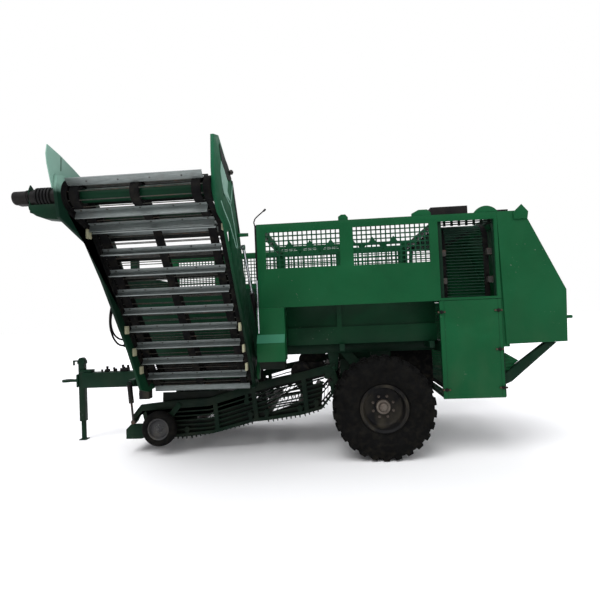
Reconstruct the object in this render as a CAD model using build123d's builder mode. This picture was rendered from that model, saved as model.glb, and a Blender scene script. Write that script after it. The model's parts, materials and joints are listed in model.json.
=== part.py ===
from build123d import *
import os
from math import atan2, cos, hypot, pi, radians, sin, tan

# Trailed potato harvester with a side delivery elevator, in millimetres.
# X points forward to the towing eye, Y to the left, Z up.
# The origin is on the ground, under the middle of the axle.

# Clearances
seat_gap = 0.3            # between pieces that rest on each other
running_gap = 1.0         # round a pin or a shaft

# Road wheels
tyre_diameter = 1200
tyre_width = 480
wheel_y = 1060            # centre plane of a wheel
bead_diameter = 508
carcass_drop = 34         # tread lugs stand this far out of the carcass
lug_rows = ((-118, 0.0), (118, 0.5))    # offset along the axle, share of a pitch turned
lug_count = 26
lug_width = 205
lug_length = 80
spindle_radius = 40

# Chassis
rail_height = 130
rail_width = 80
rail_bottom = 1220
rail_inner_y = 710
rail_front = 1420
portal_tube = 60
axle_tube = 120
leg_inner_y = 700
leg_thickness = 80

# Body shell
side_y = 1220             # outer face of the side sheets
sheet = 30                # a side sheet with its folded frame
side_front = 1415
side_rear = -1385
side_bottom = 1820
side_top = 2820
windows = ((430, 1310, 2285, 2717), (-610, 270, 2280, 2730))   # x0, x1, z0, z1
rear_window = (-1345, -710, 1850, 2740)
bay_front = 3400          # the right side sheet runs on to here, behind the elevator
bay_left = 550
bay_wall_top, front_wall_top_z = 2100, 2380
bay_windows = ((1470, 2350, 2285, 2717), (2560, 3190, 2285, 2717))
mesh_bar = 16
mesh_thickness = 6
mesh_columns, mesh_rows = 8, 4
door_x = (-1380, -687)
door_z = (687, 1815)
hood_outline = ((side_rear - seat_gap, side_top), (-1720, side_top), (-1719, 2736), (-2111, 1891), (-2092, 1302), (-1420, 1293))

# Ring elevator behind the doors
ring_x = (-1325, -765)
ring_half_width = 1050
ring_bottom, ring_top = 760, 2730
ring_corner = 220
ring_pitch = 96

# Drawbar and jack
beam_half_width = 90
jack_x = 4310             # the jack stands on the beam's front end
jack_outer = 84
jack_inner = 52
jack_foot = 110
beam_front = jack_x - jack_outer / 2 - seat_gap
drawbar_side = ((beam_front, 770), (beam_front, 990), (3000, 990), (rail_front, 1350), (rail_front, 1130), (2950, 770))
eye_x, eye_z = jack_x + 230, 875
eye_radius = 80
eye_bore = 41
eye_thickness = 34

# Digging unit
digger_outer_y = 800
digger_plate = 30
digger_web_half = 712
digger_pivot = (560, 1040)
pivot_pin = 20
# Top edge of the side band, from the back to the front: x, z
band_top = ((545, 1095), (942, 1001), (1315, 935), (1692, 835), (2179, 701), (2645, 682), (3079, 642))
band_depth = 100
guide_depth = 42
# Lower guide under the return runs: x, z of its lower edge
guide_bottom = ((494, 816), (733, 520), (1000, 455), (1400, 402), (1606, 385), (2129, 252), (2550, 215), (3010, 215))
side_posts = ((2105, 2080), (1605, 1570), (955, 925))    # x at the band, x at the guide
post_width = 58
side_bar_pitch = 57
side_bar = 16
hook_eye = (3166, 432)
lift_top = (3203, 925)
lift_y = 842
lift_pin = 14

# Webs: circles that a belt runs round (a, b, radius)
digging_circles = ((2920, 335, 90), (1690, 640, 66), (1650, 478, 66), (2480, 308, 66))
second_circles = ((1440, 500, 70), (650, 935, 60), (592, 832, 60), (800, 605, 60), (1010, 540, 60))
main_circles = ((420, 900, 65), (-600, 900, 65))
picking_circles = ((1290, 2130, 80), (-590, 2130, 80))
bay_circles = ((3270, 2000, 55), (1510, 2000, 55))
belt_thickness = 12
belt_width = 60
rod = 10                  # thinner than the belts that hold it
rod_pitch = 76

# Elevator across the front, in the Y-Z plane
tail = (990, 1020)
knee = (2262, 2722)
head = (2686, 2864)
strand_radius = 100
flight_height = 60
flight_thickness = 8
flight_pitch = 230
elevator_x = (1607, 2807)
wall_rear_x = 1515
wall_front_x = 2830
wall_thickness = 30
# Side frame outlines: y, z
tail_edge = ((1336, 918), (1130, 862), (900, 880))
rear_wall_top = ((860, 960), (940, 1150), (1440, 1960), (1699, 2566), (2002, 3114), (2533, 3391), (2715, 3333),
                 (2745, 3038), (2728, 2805))
rear_wall_low = ((2589, 2675), (2408, 2491), (2258, 2264), (2072, 1903), (1847, 1489), (1583, 1119))
front_wall_top = ((860, 1080), (1950, 2690), (2250, 2960), (2560, 3060), (2880, 3010), (2900, 2900))
front_wall_low = ((2860, 2650), (2440, 2490), (2164, 2160), (1617, 1390))
lattice = (((2490, 3010), (2250, 3060), (2400, 2850)), ((2150, 3060), (2450, 3250), (2460, 3080)),
           ((2160, 2600), (2330, 2540), (2090, 2250)))
belt_stations = (-540, 0, 540)
elevator_belt_width = 80
elevator_tube = 45
arm_plate_x = (1475, 1505)       # bearing plate of the tail
base_plate_x = (1422, 1445)      # plate that holds the cylinder's base
lift_cylinder_x = 1480
elevator_base = (760, 1430)
elevator_eye = (1730, 2480)

# Gauge wheels
gauge_x, gauge_y, gauge_z = 2800, 900, 355
gauge_pin = 15

sides = (("left", 1), ("right", -1))

os.makedirs("parts", exist_ok=True)


def side_plane(y):
    """Sketches in (x, z) at this y; an extrusion goes towards -Y."""
    return Plane.XZ.offset(-y)


def cross_plane(x):
    """Sketches in (y, z) at this x; an extrusion goes towards +X."""
    return Plane.YZ.offset(x)


def span_y(side, near, far):
    """Start plane and depth of a slab between two distances from the centreline."""
    return side_plane(far if side > 0 else -near), far - near


def mid(low, high):
    return (low + high) / 2


def strip(start, end, width):
    """Corners of a straight strip between two points of a sketch."""
    turn = atan2(end[1] - start[1], end[0] - start[0])
    dx, dy = -sin(turn) * width / 2, cos(turn) * width / 2
    return (
        (start[0] + dx, start[1] + dy), (end[0] + dx, end[1] + dy),
        (end[0] - dx, end[1] - dy), (start[0] - dx, start[1] - dy),
    )


def height_on(line, x):
    """Height of a broken line at x; its points run from low x to high x."""
    for (x0, z0), (x1, z1) in zip(line, line[1:]):
        if x0 <= x <= x1:
            return z0 + (z1 - z0) * (x - x0) / (x1 - x0)
    raise ValueError("x is off the line")


def save(piece, name):
    piece.part.label = name
    export_step(piece.part, f"parts/{name}.step")


def wrap(groups, grow, mode=Mode.ADD):
    """In a sketch: the hulls round each group of circles, grown outwards."""
    for circles in groups:
        with BuildSketch(mode=Mode.PRIVATE) as hull:
            for a, b, radius in circles:
                with Locations((a, b)):
                    Circle(radius + grow)
            make_hull()
        add(hull.sketch, mode=mode)


def around(plane, groups, pitch):
    """Planes spaced evenly round a belt: x along it, y outwards, z along the axle."""
    with BuildSketch(plane) as loop:
        wrap(groups, 0)
    face = loop.sketch.face()
    wire = face.outer_wire()
    count = round(wire.length / pitch)
    spin = -face.normal_at()
    return [Plane(origin=wire @ (i / count), x_dir=wire % (i / count), z_dir=spin) for i in range(count)]


def rod_web(name, plane, groups, half_width, stations, pitch, width=belt_width):
    """A closed web: belts at the stations, joined by rods across the whole width."""
    with BuildPart() as web:
        for station in stations:
            with BuildSketch(plane.offset(station)):
                wrap(groups, belt_thickness / 2)
                wrap(groups, -belt_thickness / 2, mode=Mode.SUBTRACT)
            extrude(amount=width / 2, both=True)
        with Locations(*around(plane, groups, pitch)):
            Box(rod, rod, 2 * half_width)
    save(web, name)


# Road wheels: tyres
tyre_profile = (
    (-175, bead_diameter / 2), (-175, 284), (-tyre_width / 2 + 25, 292), (-tyre_width / 2, 400),
    (-tyre_width / 2 + 6, 500), (-200, tyre_diameter / 2 - carcass_drop),
    (200, tyre_diameter / 2 - carcass_drop), (tyre_width / 2 - 6, 500),
    (tyre_width / 2, 400), (tyre_width / 2 - 25, 292), (175, 284), (175, bead_diameter / 2),
)
wheel_z = tyre_diameter / 2
axle_line = Axis((0, 0, wheel_z), (0, 1, 0))
lug_face = (wheel_z**2 - (lug_length / 2)**2)**0.5      # a lug's corners lie on the tread's circle
for side_name, side in sides:
    hub = Plane(origin=(0, side * wheel_y, wheel_z), x_dir=(1, 0, 0), z_dir=(0, side, 0))
    with BuildPart(hub) as tyre:
        with BuildSketch(Plane.YZ):
            Polygon(*[(side * (wheel_y + a), wheel_z + r) for a, r in tyre_profile], align=None)
        revolve(axis=axle_line)
        for offset_y, turned in lug_rows:
            with Locations(Location((0, 0, offset_y))):
                with PolarLocations(lug_face - carcass_drop / 2 - 6, lug_count, start_angle=360 * turned / lug_count):
                    Box(carcass_drop + 12, lug_length, lug_width)
    save(tyre, f"tyre_{side_name}")

# Road wheels: deep-dished rims with their hubs
rim_profile = (
    (-192, 238), (-192, 282), (-176, 282), (-176, 253.7), (176, 253.7), (176, 282), (192, 282), (192, 238),
    (55, 238), (30, 205), (30, 120), (95, 105), (95, spindle_radius + running_gap),
    (-90, spindle_radius + running_gap), (-90, 105), (10, 120), (10, 238),
)
for side_name, side in sides:
    with BuildPart() as rim:
        with BuildSketch(Plane.YZ):
            Polygon(*[(side * (wheel_y + a), wheel_z + r) for a, r in rim_profile], align=None)
        revolve(axis=axle_line)
    save(rim, f"rim_{side_name}")

# Axle beam with its legs and spindles
with BuildPart() as axle:
    with BuildSketch(side_plane(0)):
        with Locations((0, wheel_z)):
            Rectangle(axle_tube, axle_tube)
    extrude(amount=leg_inner_y, both=True)
    for side_name, side in sides:
        plane, depth = span_y(side, leg_inner_y, leg_inner_y + leg_thickness)
        with BuildSketch(plane):
            Polygon(
                (-90, wheel_z - 80), (90, wheel_z - 80), (160, wheel_z + 200), (470, rail_bottom),
                (330, rail_bottom), (120, 990), (80, rail_bottom), (-150, rail_bottom), align=None,
            )
        extrude(amount=depth)
        plane, depth = span_y(side, leg_inner_y + leg_thickness, wheel_y + 90)
        with BuildSketch(plane):
            with Locations((0, wheel_z)):
                Circle(spindle_radius)
        extrude(amount=depth)
save(axle, "axle_beam")

# Chassis: rails, cross members, outriggers and the hangers of the digging unit
portal_front_x = (-757, -757 + portal_tube)
rail_top = rail_bottom + rail_height
rail_outer_y = rail_inner_y + rail_width
post_outer_y = side_y - sheet - seat_gap
outrigger_x = (420, -640)
hanger_y = (735, 765)
with BuildPart() as chassis:
    for side_name, side in sides:
        plane, depth = span_y(side, rail_inner_y, rail_outer_y)
        with BuildSketch(plane):
            Polygon(
                (portal_front_x[1], rail_bottom), (rail_front, rail_bottom),
                (rail_front, rail_top), (portal_front_x[1], rail_top), align=None,
            )
        extrude(amount=depth)
        for x in outrigger_x:
            with Locations((x + 30, side * mid(rail_outer_y, 1100), rail_top - 40)):
                Box(60, 1100 - rail_outer_y, 80)
        plane, depth = span_y(side, *hanger_y)
        with BuildSketch(plane):
            Polygon(
                (digger_pivot[0] - 70, rail_bottom), (digger_pivot[0] - 40, digger_pivot[1] - 45),
                (digger_pivot[0] + 40, digger_pivot[1] - 45), (digger_pivot[0] + 70, rail_bottom), align=None,
            )
        extrude(amount=depth)
        plane, depth = span_y(side, hanger_y[1], digger_outer_y + 8)
        with BuildSketch(plane):
            with Locations(digger_pivot):
                Circle(pivot_pin)
        extrude(amount=depth)
    with Locations((rail_front - rail_width / 2, 0, rail_bottom + rail_height / 2)):
        Box(rail_width, 2 * post_outer_y, rail_height)
save(chassis, "chassis_frame")

# Side boards and web above the axle
with BuildPart() as web_boards:
    for side_name, side in sides:
        plane, depth = span_y(side, 682, leg_inner_y - seat_gap)
        with BuildSketch(plane):
            Polygon((-690, 850), (480, 850), (480, 1120), (-690, 1120), align=None)
        extrude(amount=depth)
save(web_boards, "main_web_boards")
rod_web("main_web", side_plane(0), (main_circles,), 665, (-620, 0, 620), rod_pitch)

# Drawbar with the beam that carries the lift cylinders and the elevator's front bearing
bearing_front_x = (2880, 2940)
with BuildPart() as drawbar:
    with BuildSketch(side_plane(0)):
        Polygon(*drawbar_side, align=None)
    extrude(amount=beam_half_width, both=True)
    with Locations((lift_top[0], 0, lift_top[1])):
        Box(80, 2 * digger_outer_y, 80)
    with BuildSketch(side_plane(0)):
        with Locations(lift_top):
            Circle(lift_pin)
    extrude(amount=lift_y + 30, both=True)
    with BuildSketch(cross_plane(bearing_front_x[0])):
        Polygon((0, 900), (0, 980), (tail[0] - 140, tail[1] + 60), (tail[0] + 20, tail[1] + 60),
                (tail[0] + 60, tail[1] + 20), (tail[0] + 60, tail[1] - 30), (tail[0] + 10, tail[1] - 70),
                (tail[0] - 140, tail[1] - 80), align=None)
    extrude(amount=bearing_front_x[1] - bearing_front_x[0])
    with BuildSketch(cross_plane(wall_front_x - 4)):
        with Locations(tail):
            Circle(pivot_pin)
    extrude(amount=bearing_front_x[0] - wall_front_x + 10)
save(drawbar, "drawbar")

# Towing eye, bolted to the front of the jack's tube
eye_plate_x = (jack_x + jack_outer / 2 + seat_gap, jack_x + jack_outer / 2 + 26)
with BuildPart() as towing_eye:
    with BuildSketch(Plane.XY.offset(eye_z - eye_thickness / 2)):
        with Locations((eye_x, 0)):
            Circle(eye_radius)
        with Locations((mid(eye_plate_x[0], eye_x - 60), 0)):
            Rectangle(eye_x - 60 - eye_plate_x[0], 90)
        with Locations((eye_x, 0)):
            Circle(eye_bore, mode=Mode.SUBTRACT)
    extrude(amount=eye_thickness)
    with Locations((mid(*eye_plate_x), 0, eye_z)):
        Box(eye_plate_x[1] - eye_plate_x[0], 120, 190)
save(towing_eye, "towing_eye")

# Parking jack: tube with its gear head and crank, and the leg inside it
jack_bottom, jack_head = 275, 1120
with BuildPart() as jack_tube:
    with Locations((jack_x, 0, mid(jack_bottom, jack_head))):
        Box(jack_outer, jack_outer, jack_head - jack_bottom)
        Box(jack_inner + 2 * seat_gap, jack_inner + 2 * seat_gap, jack_head - jack_bottom, mode=Mode.SUBTRACT)
    with Locations((jack_x, 0, jack_head + 25)):
        Box(jack_outer + 24, jack_outer + 10, 50)
    with BuildSketch(side_plane(0)):
        with Locations((jack_x, jack_head + 50)):
            Circle(46)
    extrude(amount=40, both=True)
    with Locations((jack_x + 90, 0, jack_head + 45)):
        Box(100, 22, 22)
    with Locations((jack_x + 130, 0, jack_head + 15)):
        Box(22, 22, 70)
save(jack_tube, "jack_tube")
with BuildPart() as jack_leg:
    with Locations((jack_x, 0, mid(12, 700))):
        Box(jack_inner, jack_inner, 700 - 12)
    with Locations((jack_x, 0, 6)):
        Box(jack_foot, jack_foot, 12)
save(jack_leg, "jack_leg")

# Side sheets with their window openings; the right one runs on to the front
side_ends = {"left": side_front, "right": bay_front}
meshed = {"left": windows, "right": windows + bay_windows}
for side_name, side in sides:
    plane, depth = span_y(side, side_y - sheet, side_y)
    side_end = side_ends[side_name]
    with BuildPart() as body_side:
        with BuildSketch(plane):
            with Locations((mid(side_rear, side_end), mid(side_bottom, side_top))):
                Rectangle(side_end - side_rear, side_top - side_bottom)
            for x0, x1, z0, z1 in meshed[side_name] + (rear_window,):
                with Locations((mid(x0, x1), mid(z0, z1))):
                    Rectangle(x1 - x0, z1 - z0, mode=Mode.SUBTRACT)
        extrude(amount=depth)
    save(body_side, f"body_side_{side_name}")

# Square mesh behind the windows
mesh_lap = 15
with BuildPart() as window_mesh:
    for side_name, side in sides:
        far = side_y - sheet - seat_gap
        plane, depth = span_y(side, far - mesh_thickness, far)
        with BuildSketch(plane):
            for x0, x1, z0, z1 in meshed[side_name]:
                pitch_x = (x1 - x0 - mesh_bar) / mesh_columns
                pitch_z = (z1 - z0 - mesh_bar) / mesh_rows
                with Locations((mid(x0, x1), mid(z0, z1))):
                    Rectangle(x1 - x0 + 2 * mesh_lap, z1 - z0 + 2 * mesh_lap)
                    with GridLocations(pitch_x, pitch_z, mesh_columns, mesh_rows):
                        Rectangle(pitch_x - mesh_bar, pitch_z - mesh_bar, mode=Mode.SUBTRACT)
        extrude(amount=depth)
save(window_mesh, "window_mesh")

# Front portal: two posts and the upper cross beam
front_post_x = (1345, 1410)
with BuildPart() as front_portal:
    for side_name, side in sides:
        with Locations((mid(*front_post_x), side * (post_outer_y - portal_tube / 2), mid(rail_top, 2815))):
            Box(front_post_x[1] - front_post_x[0], portal_tube, 2815 - rail_top)
    with Locations((mid(*front_post_x), 0, 2778)):
        Box(front_post_x[1] - front_post_x[0], 2 * (post_outer_y - portal_tube), 74)
save(front_portal, "front_portal")

# Front bay behind the elevator: an end wall and a low left wall with a rising lower edge
bay_right = side_y - sheet
with BuildPart() as front_bay:
    with BuildSketch(cross_plane(bay_front - sheet)):
        Polygon((-post_outer_y, side_bottom), (bay_left, side_bottom), (bay_left, front_wall_top_z),
                (-post_outer_y, front_wall_top_z), align=None)
    extrude(amount=sheet)
    with BuildSketch(side_plane(bay_left)):
        Polygon((side_front + 9, 1200), (2950, 1200), (bay_front - sheet, 1700), (bay_front - sheet, bay_wall_top),
                (side_front + 9, bay_wall_top), align=None)
    extrude(amount=sheet)
save(front_bay, "front_bay")

# Frame under the front bay, with two uprights on the chassis and a tall post on the drawbar
bay_beam = 60
bay_beam_z = (1750, side_bottom - seat_gap)
bay_left_beam_y = bay_left - sheet - seat_gap
with BuildPart() as front_frame:
    for y in (-post_outer_y + bay_beam / 2, bay_left_beam_y - bay_beam / 2):
        with Locations((mid(1451, bay_front - sheet), y, mid(*bay_beam_z))):
            Box(bay_front - sheet - 1451, bay_beam, bay_beam_z[1] - bay_beam_z[0])
    for x in (1451 + bay_beam / 2, bay_front - bay_beam / 2 + 10):
        with Locations((x, mid(-post_outer_y, bay_left_beam_y), mid(*bay_beam_z))):
            Box(bay_beam, post_outer_y + bay_left_beam_y, bay_beam_z[1] - bay_beam_z[0])
    for y in (-600, 400):
        with Locations((mid(rail_front + seat_gap, 1500), y, mid(1235, 1790))):
            Box(1500 - rail_front - seat_gap, 80, 1790 - 1235)
    with Locations((mid(bay_front + seat_gap, bay_front + 100), 0, mid(990 + seat_gap, 2700))):
        Box(100 - seat_gap, 100, 2700 - 990 - seat_gap)
save(front_frame, "front_frame")
bay_mid_y = mid(-bay_right, bay_left - sheet)
bay_half = (bay_left - sheet + bay_right) / 2
rod_web("front_web", side_plane(bay_mid_y), (bay_circles,), bay_half - 55, (-770, 0, 770), rod_pitch)

# Rear portals round the ring elevator, with sills, the chassis cross member and the struts
portal_rear_x = (-1400, -1400 + portal_tube)
frame_bottom, frame_top = 690, side_top - sheet - seat_gap
with BuildPart() as rear_frame:
    for x0, x1 in (portal_front_x, portal_rear_x):
        for side_name, side in sides:
            with Locations((mid(x0, x1), side * (post_outer_y - portal_tube / 2), mid(frame_bottom, frame_top))):
                Box(portal_tube, portal_tube, frame_top - frame_bottom)
        for z in (frame_bottom + portal_tube / 2, frame_top - portal_tube / 2):
            with Locations((mid(x0, x1), 0, z)):
                Box(portal_tube, 2 * (post_outer_y - portal_tube), portal_tube)
    for side_name, side in sides:
        with Locations((mid(portal_rear_x[1], portal_front_x[0]), side * (post_outer_y - portal_tube / 2),
                        frame_bottom + portal_tube / 2)):
            Box(portal_front_x[0] - portal_rear_x[1], portal_tube, portal_tube)
    with Locations((mid(*portal_front_x), 0, rail_bottom + rail_height / 2)):
        Box(portal_tube, 2 * (post_outer_y - portal_tube), rail_height)
save(rear_frame, "rear_frame")
with BuildPart() as rear_struts:
    for side_name, side in sides:
        plane, depth = span_y(side, 1100, 1180)
        with BuildSketch(plane):
            Polygon((portal_rear_x[0], 830), (portal_rear_x[0], 950), (-1870, 1293 - seat_gap),
                    (-1990, 1293 - seat_gap), (-1470, 860), align=None)
        extrude(amount=depth)
save(rear_struts, "rear_struts")

# Ring elevator: two belts in a rounded square, joined by rods along X
ring_circles = tuple(
    (y, z, ring_corner)
    for y in (-ring_half_width + ring_corner, ring_half_width - ring_corner)
    for z in (ring_bottom + ring_corner, ring_top - ring_corner)
)
ring_half_length = (ring_x[1] - ring_x[0]) / 2
rod_web("ring_elevator", cross_plane(mid(*ring_x)), (ring_circles,), ring_half_length,
        (-ring_half_length + belt_width / 2, ring_half_length - belt_width / 2), ring_pitch)

# Guide blocks on the posts, which hold the ring elevator's belts
guide_heights = (1100, 1500, 2050, 2380)
belt_face_y = ring_half_width + belt_thickness / 2 + seat_gap
post_inner_y = post_outer_y - portal_tube - seat_gap
with BuildPart() as ring_guides:
    for side_name, side in sides:
        for x in (portal_front_x[0] - 10, portal_rear_x[1] + 10):
            for z in guide_heights:
                with Locations((x, side * mid(belt_face_y, post_inner_y), z)):
                    Box(90, post_inner_y - belt_face_y, 70)
save(ring_guides, "ring_guides")

# Bolted doors over the sides of the ring elevator
for side_name, side in sides:
    plane, depth = span_y(side, side_y - sheet, side_y)
    with BuildPart() as door:
        with BuildSketch(plane):
            with Locations((mid(*door_x), mid(*door_z))):
                Rectangle(door_x[1] - door_x[0], door_z[1] - door_z[0])
        extrude(amount=depth)
    save(door, f"door_panel_{side_name}")

# Rear hood: a shell, open to the ring elevator and below
with BuildPart() as rear_hood:
    with BuildSketch(side_plane(0)):
        Polygon(*hood_outline, align=None)
    extrude(amount=side_y, both=True)
    with BuildSketch(side_plane(0)):
        Polygon((-1300, 2790), (-1690, 2790), (-1689, 2742), (-2080, 1897), (-2062, 1330), (-1300, 1330),
                align=None)
    extrude(amount=side_y - sheet, both=True, mode=Mode.SUBTRACT)
    with Locations((mid(-2000, -1300), 0, 1300)):
        Box(700, 2 * 1090, 100, mode=Mode.SUBTRACT)
save(rear_hood, "rear_hood")

# Recessed inner walls under the side sheets
with BuildPart() as inner_walls:
    for side_name, side in sides:
        with BuildSketch(cross_plane(-690)):
            Polygon(*[(side * y, z) for y, z in (
                (950, rail_top), (1010, rail_top), (1010, 1560), (970, 1560), (970, 1825),
                (post_outer_y, 1825), (post_outer_y, 1840), (950, 1840),
            )], align=None)
        extrude(amount=1110 + 690)
        with Locations((470, side * 990, mid(1560, 1825))):
            Box(60, 40, 1825 - 1560)
save(inner_walls, "inner_walls")

# Lower guards at the front corners: open shells with a sloping shoulder
guard_x = (1120, 1450)
guard_outline = ((1000, 1190), (1290, 1190), (1290, 1407), (side_y, 1504), (side_y, side_bottom - seat_gap),
                 (1000, side_bottom - seat_gap))
guard_hollow = ((900, 1206), (1274, 1206), (1274, 1401), (side_y - 16, 1498), (side_y - 16, 1900), (900, 1900))
with BuildPart() as lower_guards:
    for side_name, side in sides:
        with BuildSketch(cross_plane(guard_x[0])):
            Polygon(*[(side * y, z) for y, z in guard_outline], align=None)
        extrude(amount=guard_x[1] - guard_x[0])
        with BuildSketch(cross_plane(guard_x[0] + 16)):
            Polygon(*[(side * y, z) for y, z in guard_hollow], align=None)
        extrude(amount=guard_x[1] - guard_x[0] - 32, mode=Mode.SUBTRACT)
save(lower_guards, "lower_guards")

# Picking table web, and the long bar with paddles above it
rod_web("picking_table", side_plane(0), (picking_circles,), 900, (-870, 0, 870), rod_pitch)
paddle_bar_z = (2655, 2745)
paddle_pitch = 300
with BuildPart() as paddle_bar:
    with BuildSketch(side_plane(0)):
        with Locations((mid(portal_front_x[1], front_post_x[0]), mid(*paddle_bar_z))):
            Rectangle(front_post_x[0] - portal_front_x[1], 40)
        for i in range(6):
            x = -372 + paddle_pitch * i
            Polygon((x - 70, 2700), (x + 70, 2700), (x, 2800), align=None)
            Polygon((x - 220, 2700), (x - 80, 2700), (x - 150, 2600), align=None)
    extrude(amount=15, both=True)
    for x in (portal_front_x[1] + 8, front_post_x[0] - 8):
        with Locations((x, 0, 2715)):
            Box(16, 80, 110)
save(paddle_bar, "paddle_bar")

# Rollers inside the fixed webs
with BuildPart() as web_rollers:
    for circles, y, reach, width in ((main_circles, 0, 682, 640), (picking_circles, 0, side_y - sheet, 880),
                                     (bay_circles, bay_mid_y, bay_half, bay_half - 70)):
        for x, z, radius in circles:
            with BuildSketch(side_plane(y)):
                with Locations((x, z)):
                    Circle(radius - belt_thickness / 2 - seat_gap)
            extrude(amount=width, both=True)
            with BuildSketch(side_plane(y)):
                with Locations((x, z)):
                    Circle(22)
            extrude(amount=reach - seat_gap, both=True)
save(web_rollers, "web_rollers")

# Fittings on the roof: a flat box at the back, and pale lugs with a rounded hump along the left edge
top_seat = side_top + seat_gap
with BuildPart() as top_fittings:
    for x, y, length, width, height in ((-850, 1040, 420, 350, 90), (-1480, 900, 220, 240, 60)):
        with Locations((x, y, side_top + height / 2 + seat_gap)):
            Box(length, width, height)
save(top_fittings, "top_fittings")
with BuildPart() as roof_lugs:
    with BuildSketch(side_plane(side_y)):
        Polygon((320, top_seat), (435, top_seat), (435, 2862), (400, 2885), (350, 2885), (320, 2850), align=None)
        Polygon((-640, top_seat), (-420, top_seat), (-420, 2850), (-500, 2890), (-600, 2890), (-640, 2850), align=None)
        with BuildLine():
            hump = ThreePointArc((-1130, top_seat), (-1265, 2895), (-1400, top_seat))
            Line(hump @ 1, hump @ 0)
        make_face()
    extrude(amount=sheet)
    with BuildSketch(side_plane(side_y + 15)):
        Polygon((-1565, 2720), (-1565, 2800), (-1660, 2889), (-1733, 2800), (-1720, 2720), align=None)
    extrude(amount=15 - seat_gap)
save(roof_lugs, "roof_lugs")

# Bearing arm of the elevator's tail, behind it
with BuildPart() as elevator_arm:
    with BuildSketch(cross_plane(arm_plate_x[0])):
        Polygon((640, 1225), (640, 1345), (860, 1345), (tail[0] + 60, tail[1] + 70), (tail[0] + 60, tail[1] - 35),
                (tail[0] + 20, tail[1] - 70), (tail[0] - 50, tail[1] - 60), (860, 1225), align=None)
    extrude(amount=arm_plate_x[1] - arm_plate_x[0])
    with Locations((mid(rail_front + seat_gap, arm_plate_x[0]), 750, mid(1225, 1345))):
        Box(arm_plate_x[0] - rail_front - seat_gap, 220, 120)
    with BuildSketch(cross_plane(arm_plate_x[1] - 5)):
        with Locations(tail):
            Circle(pivot_pin)
    extrude(amount=wall_rear_x + wall_thickness + 4 - arm_plate_x[1] + 5)
    with BuildSketch(cross_plane(base_plate_x[0])):
        Polygon((700, 1345), (820, 1345), (elevator_base[0] + 32, elevator_base[1] + 32),
                (elevator_base[0] - 32, elevator_base[1] + 32), align=None)
    extrude(amount=base_plate_x[1] - base_plate_x[0])
    with BuildSketch(cross_plane(base_plate_x[1])):
        with Locations(elevator_base):
            Circle(lift_pin)
    extrude(amount=lift_cylinder_x + 20 - base_plate_x[1])
save(elevator_arm, "elevator_arm")

# Digging unit: side frames
for side_name, side in sides:
    plane, depth = span_y(side, digger_outer_y - digger_plate, digger_outer_y)
    with BuildPart() as digger_side:
        with BuildSketch(plane):
            low_edge = [(x, z - band_depth) for x, z in reversed(band_top)]
            Polygon(*band_top, (3180, 520), (hook_eye[0] + 34, hook_eye[1] - 20), (hook_eye[0], hook_eye[1] - 36),
                    (hook_eye[0] - 36, hook_eye[1]), (3060, 560), *low_edge[1:], align=None)
            guide_top = [(x, z + guide_depth) for x, z in reversed(guide_bottom)]
            Polygon(*guide_bottom, *guide_top, align=None)
            Polygon((545, 1000), (650, 980), (540, 816), (494, 816), align=None)
            for x_top, x_low in side_posts:
                Polygon(*strip((x_top, height_on(band_top, x_top) - 40),
                               (x_low, height_on(guide_bottom, x_low) + 20), post_width), align=None)
            Polygon(*strip((3040, 560), (2960, 230), post_width), align=None)
            for x, z, radius in digging_circles + second_circles:
                band, guide = height_on(band_top, x) - 40, height_on(guide_bottom, x) + 20
                Polygon(*strip((x, z), (x, band if band - z < z - guide else guide), 44), align=None)
                with Locations((x, z)):
                    Circle(36)
            for row in (1, 2, 3):
                drop = band_depth + row * side_bar_pitch - side_bar
                line = [(x, height_on(band_top, x) - drop) for x in (960, 1315, 1692, 2100)]
                Polygon(*line, *[(x, z - side_bar) for x, z in reversed(line)], align=None)
            with Locations(digger_pivot):
                Circle(pivot_pin + running_gap, mode=Mode.SUBTRACT)
        extrude(amount=depth)
    save(digger_side, f"digger_side_{side_name}")

# Digging unit: share between two cheek plates
share_inner = digger_outer_y - digger_plate - seat_gap
with BuildPart() as share:
    with BuildSketch(side_plane(0)):
        Polygon((3303, 196), (3303, 206), (3050, 338), (3040, 326), align=None)
    extrude(amount=share_inner - 20, both=True)
    for side_name, side in sides:
        plane, depth = span_y(side, share_inner - 20, share_inner)
        with BuildSketch(plane):
            Polygon((3303, 196), (3303, 316), (3230, 390), (2960, 390), (2960, 230), (3100, 196), align=None)
        extrude(amount=depth)
save(share, "share")

# Digging unit: its two webs, with cross rollers inside them
rod_web("digging_web", side_plane(0), (digging_circles,), digger_web_half, (-660, 0, 660), rod_pitch)
rod_web("second_web", side_plane(0), (second_circles,), digger_web_half, (-660, 0, 660), rod_pitch)
with BuildPart() as digger_rollers:
    for x, z, radius in digging_circles + second_circles:
        with BuildSketch(side_plane(0)):
            with Locations((x, z)):
                Circle(radius - belt_thickness / 2 - seat_gap)
        extrude(amount=digger_web_half - 10, both=True)
        with BuildSketch(side_plane(0)):
            with Locations((x, z)):
                Circle(20)
        extrude(amount=share_inner, both=True)
save(digger_rollers, "digger_rollers")

# Digging unit: arms of the gauge wheels
with BuildPart() as gauge_arms:
    for side_name, side in sides:
        plane, depth = span_y(side, digger_outer_y + seat_gap, digger_outer_y + 20)
        with BuildSketch(plane):
            Polygon(*strip((2560, 640), (gauge_x, gauge_z), 70), align=None)
            with Locations((gauge_x, gauge_z)):
                Circle(42)
        extrude(amount=depth)
        plane, depth = span_y(side, digger_outer_y + 20, gauge_y + 45)
        with BuildSketch(plane):
            with Locations((gauge_x, gauge_z)):
                Circle(gauge_pin)
        extrude(amount=depth)
save(gauge_arms, "gauge_arms")

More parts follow.
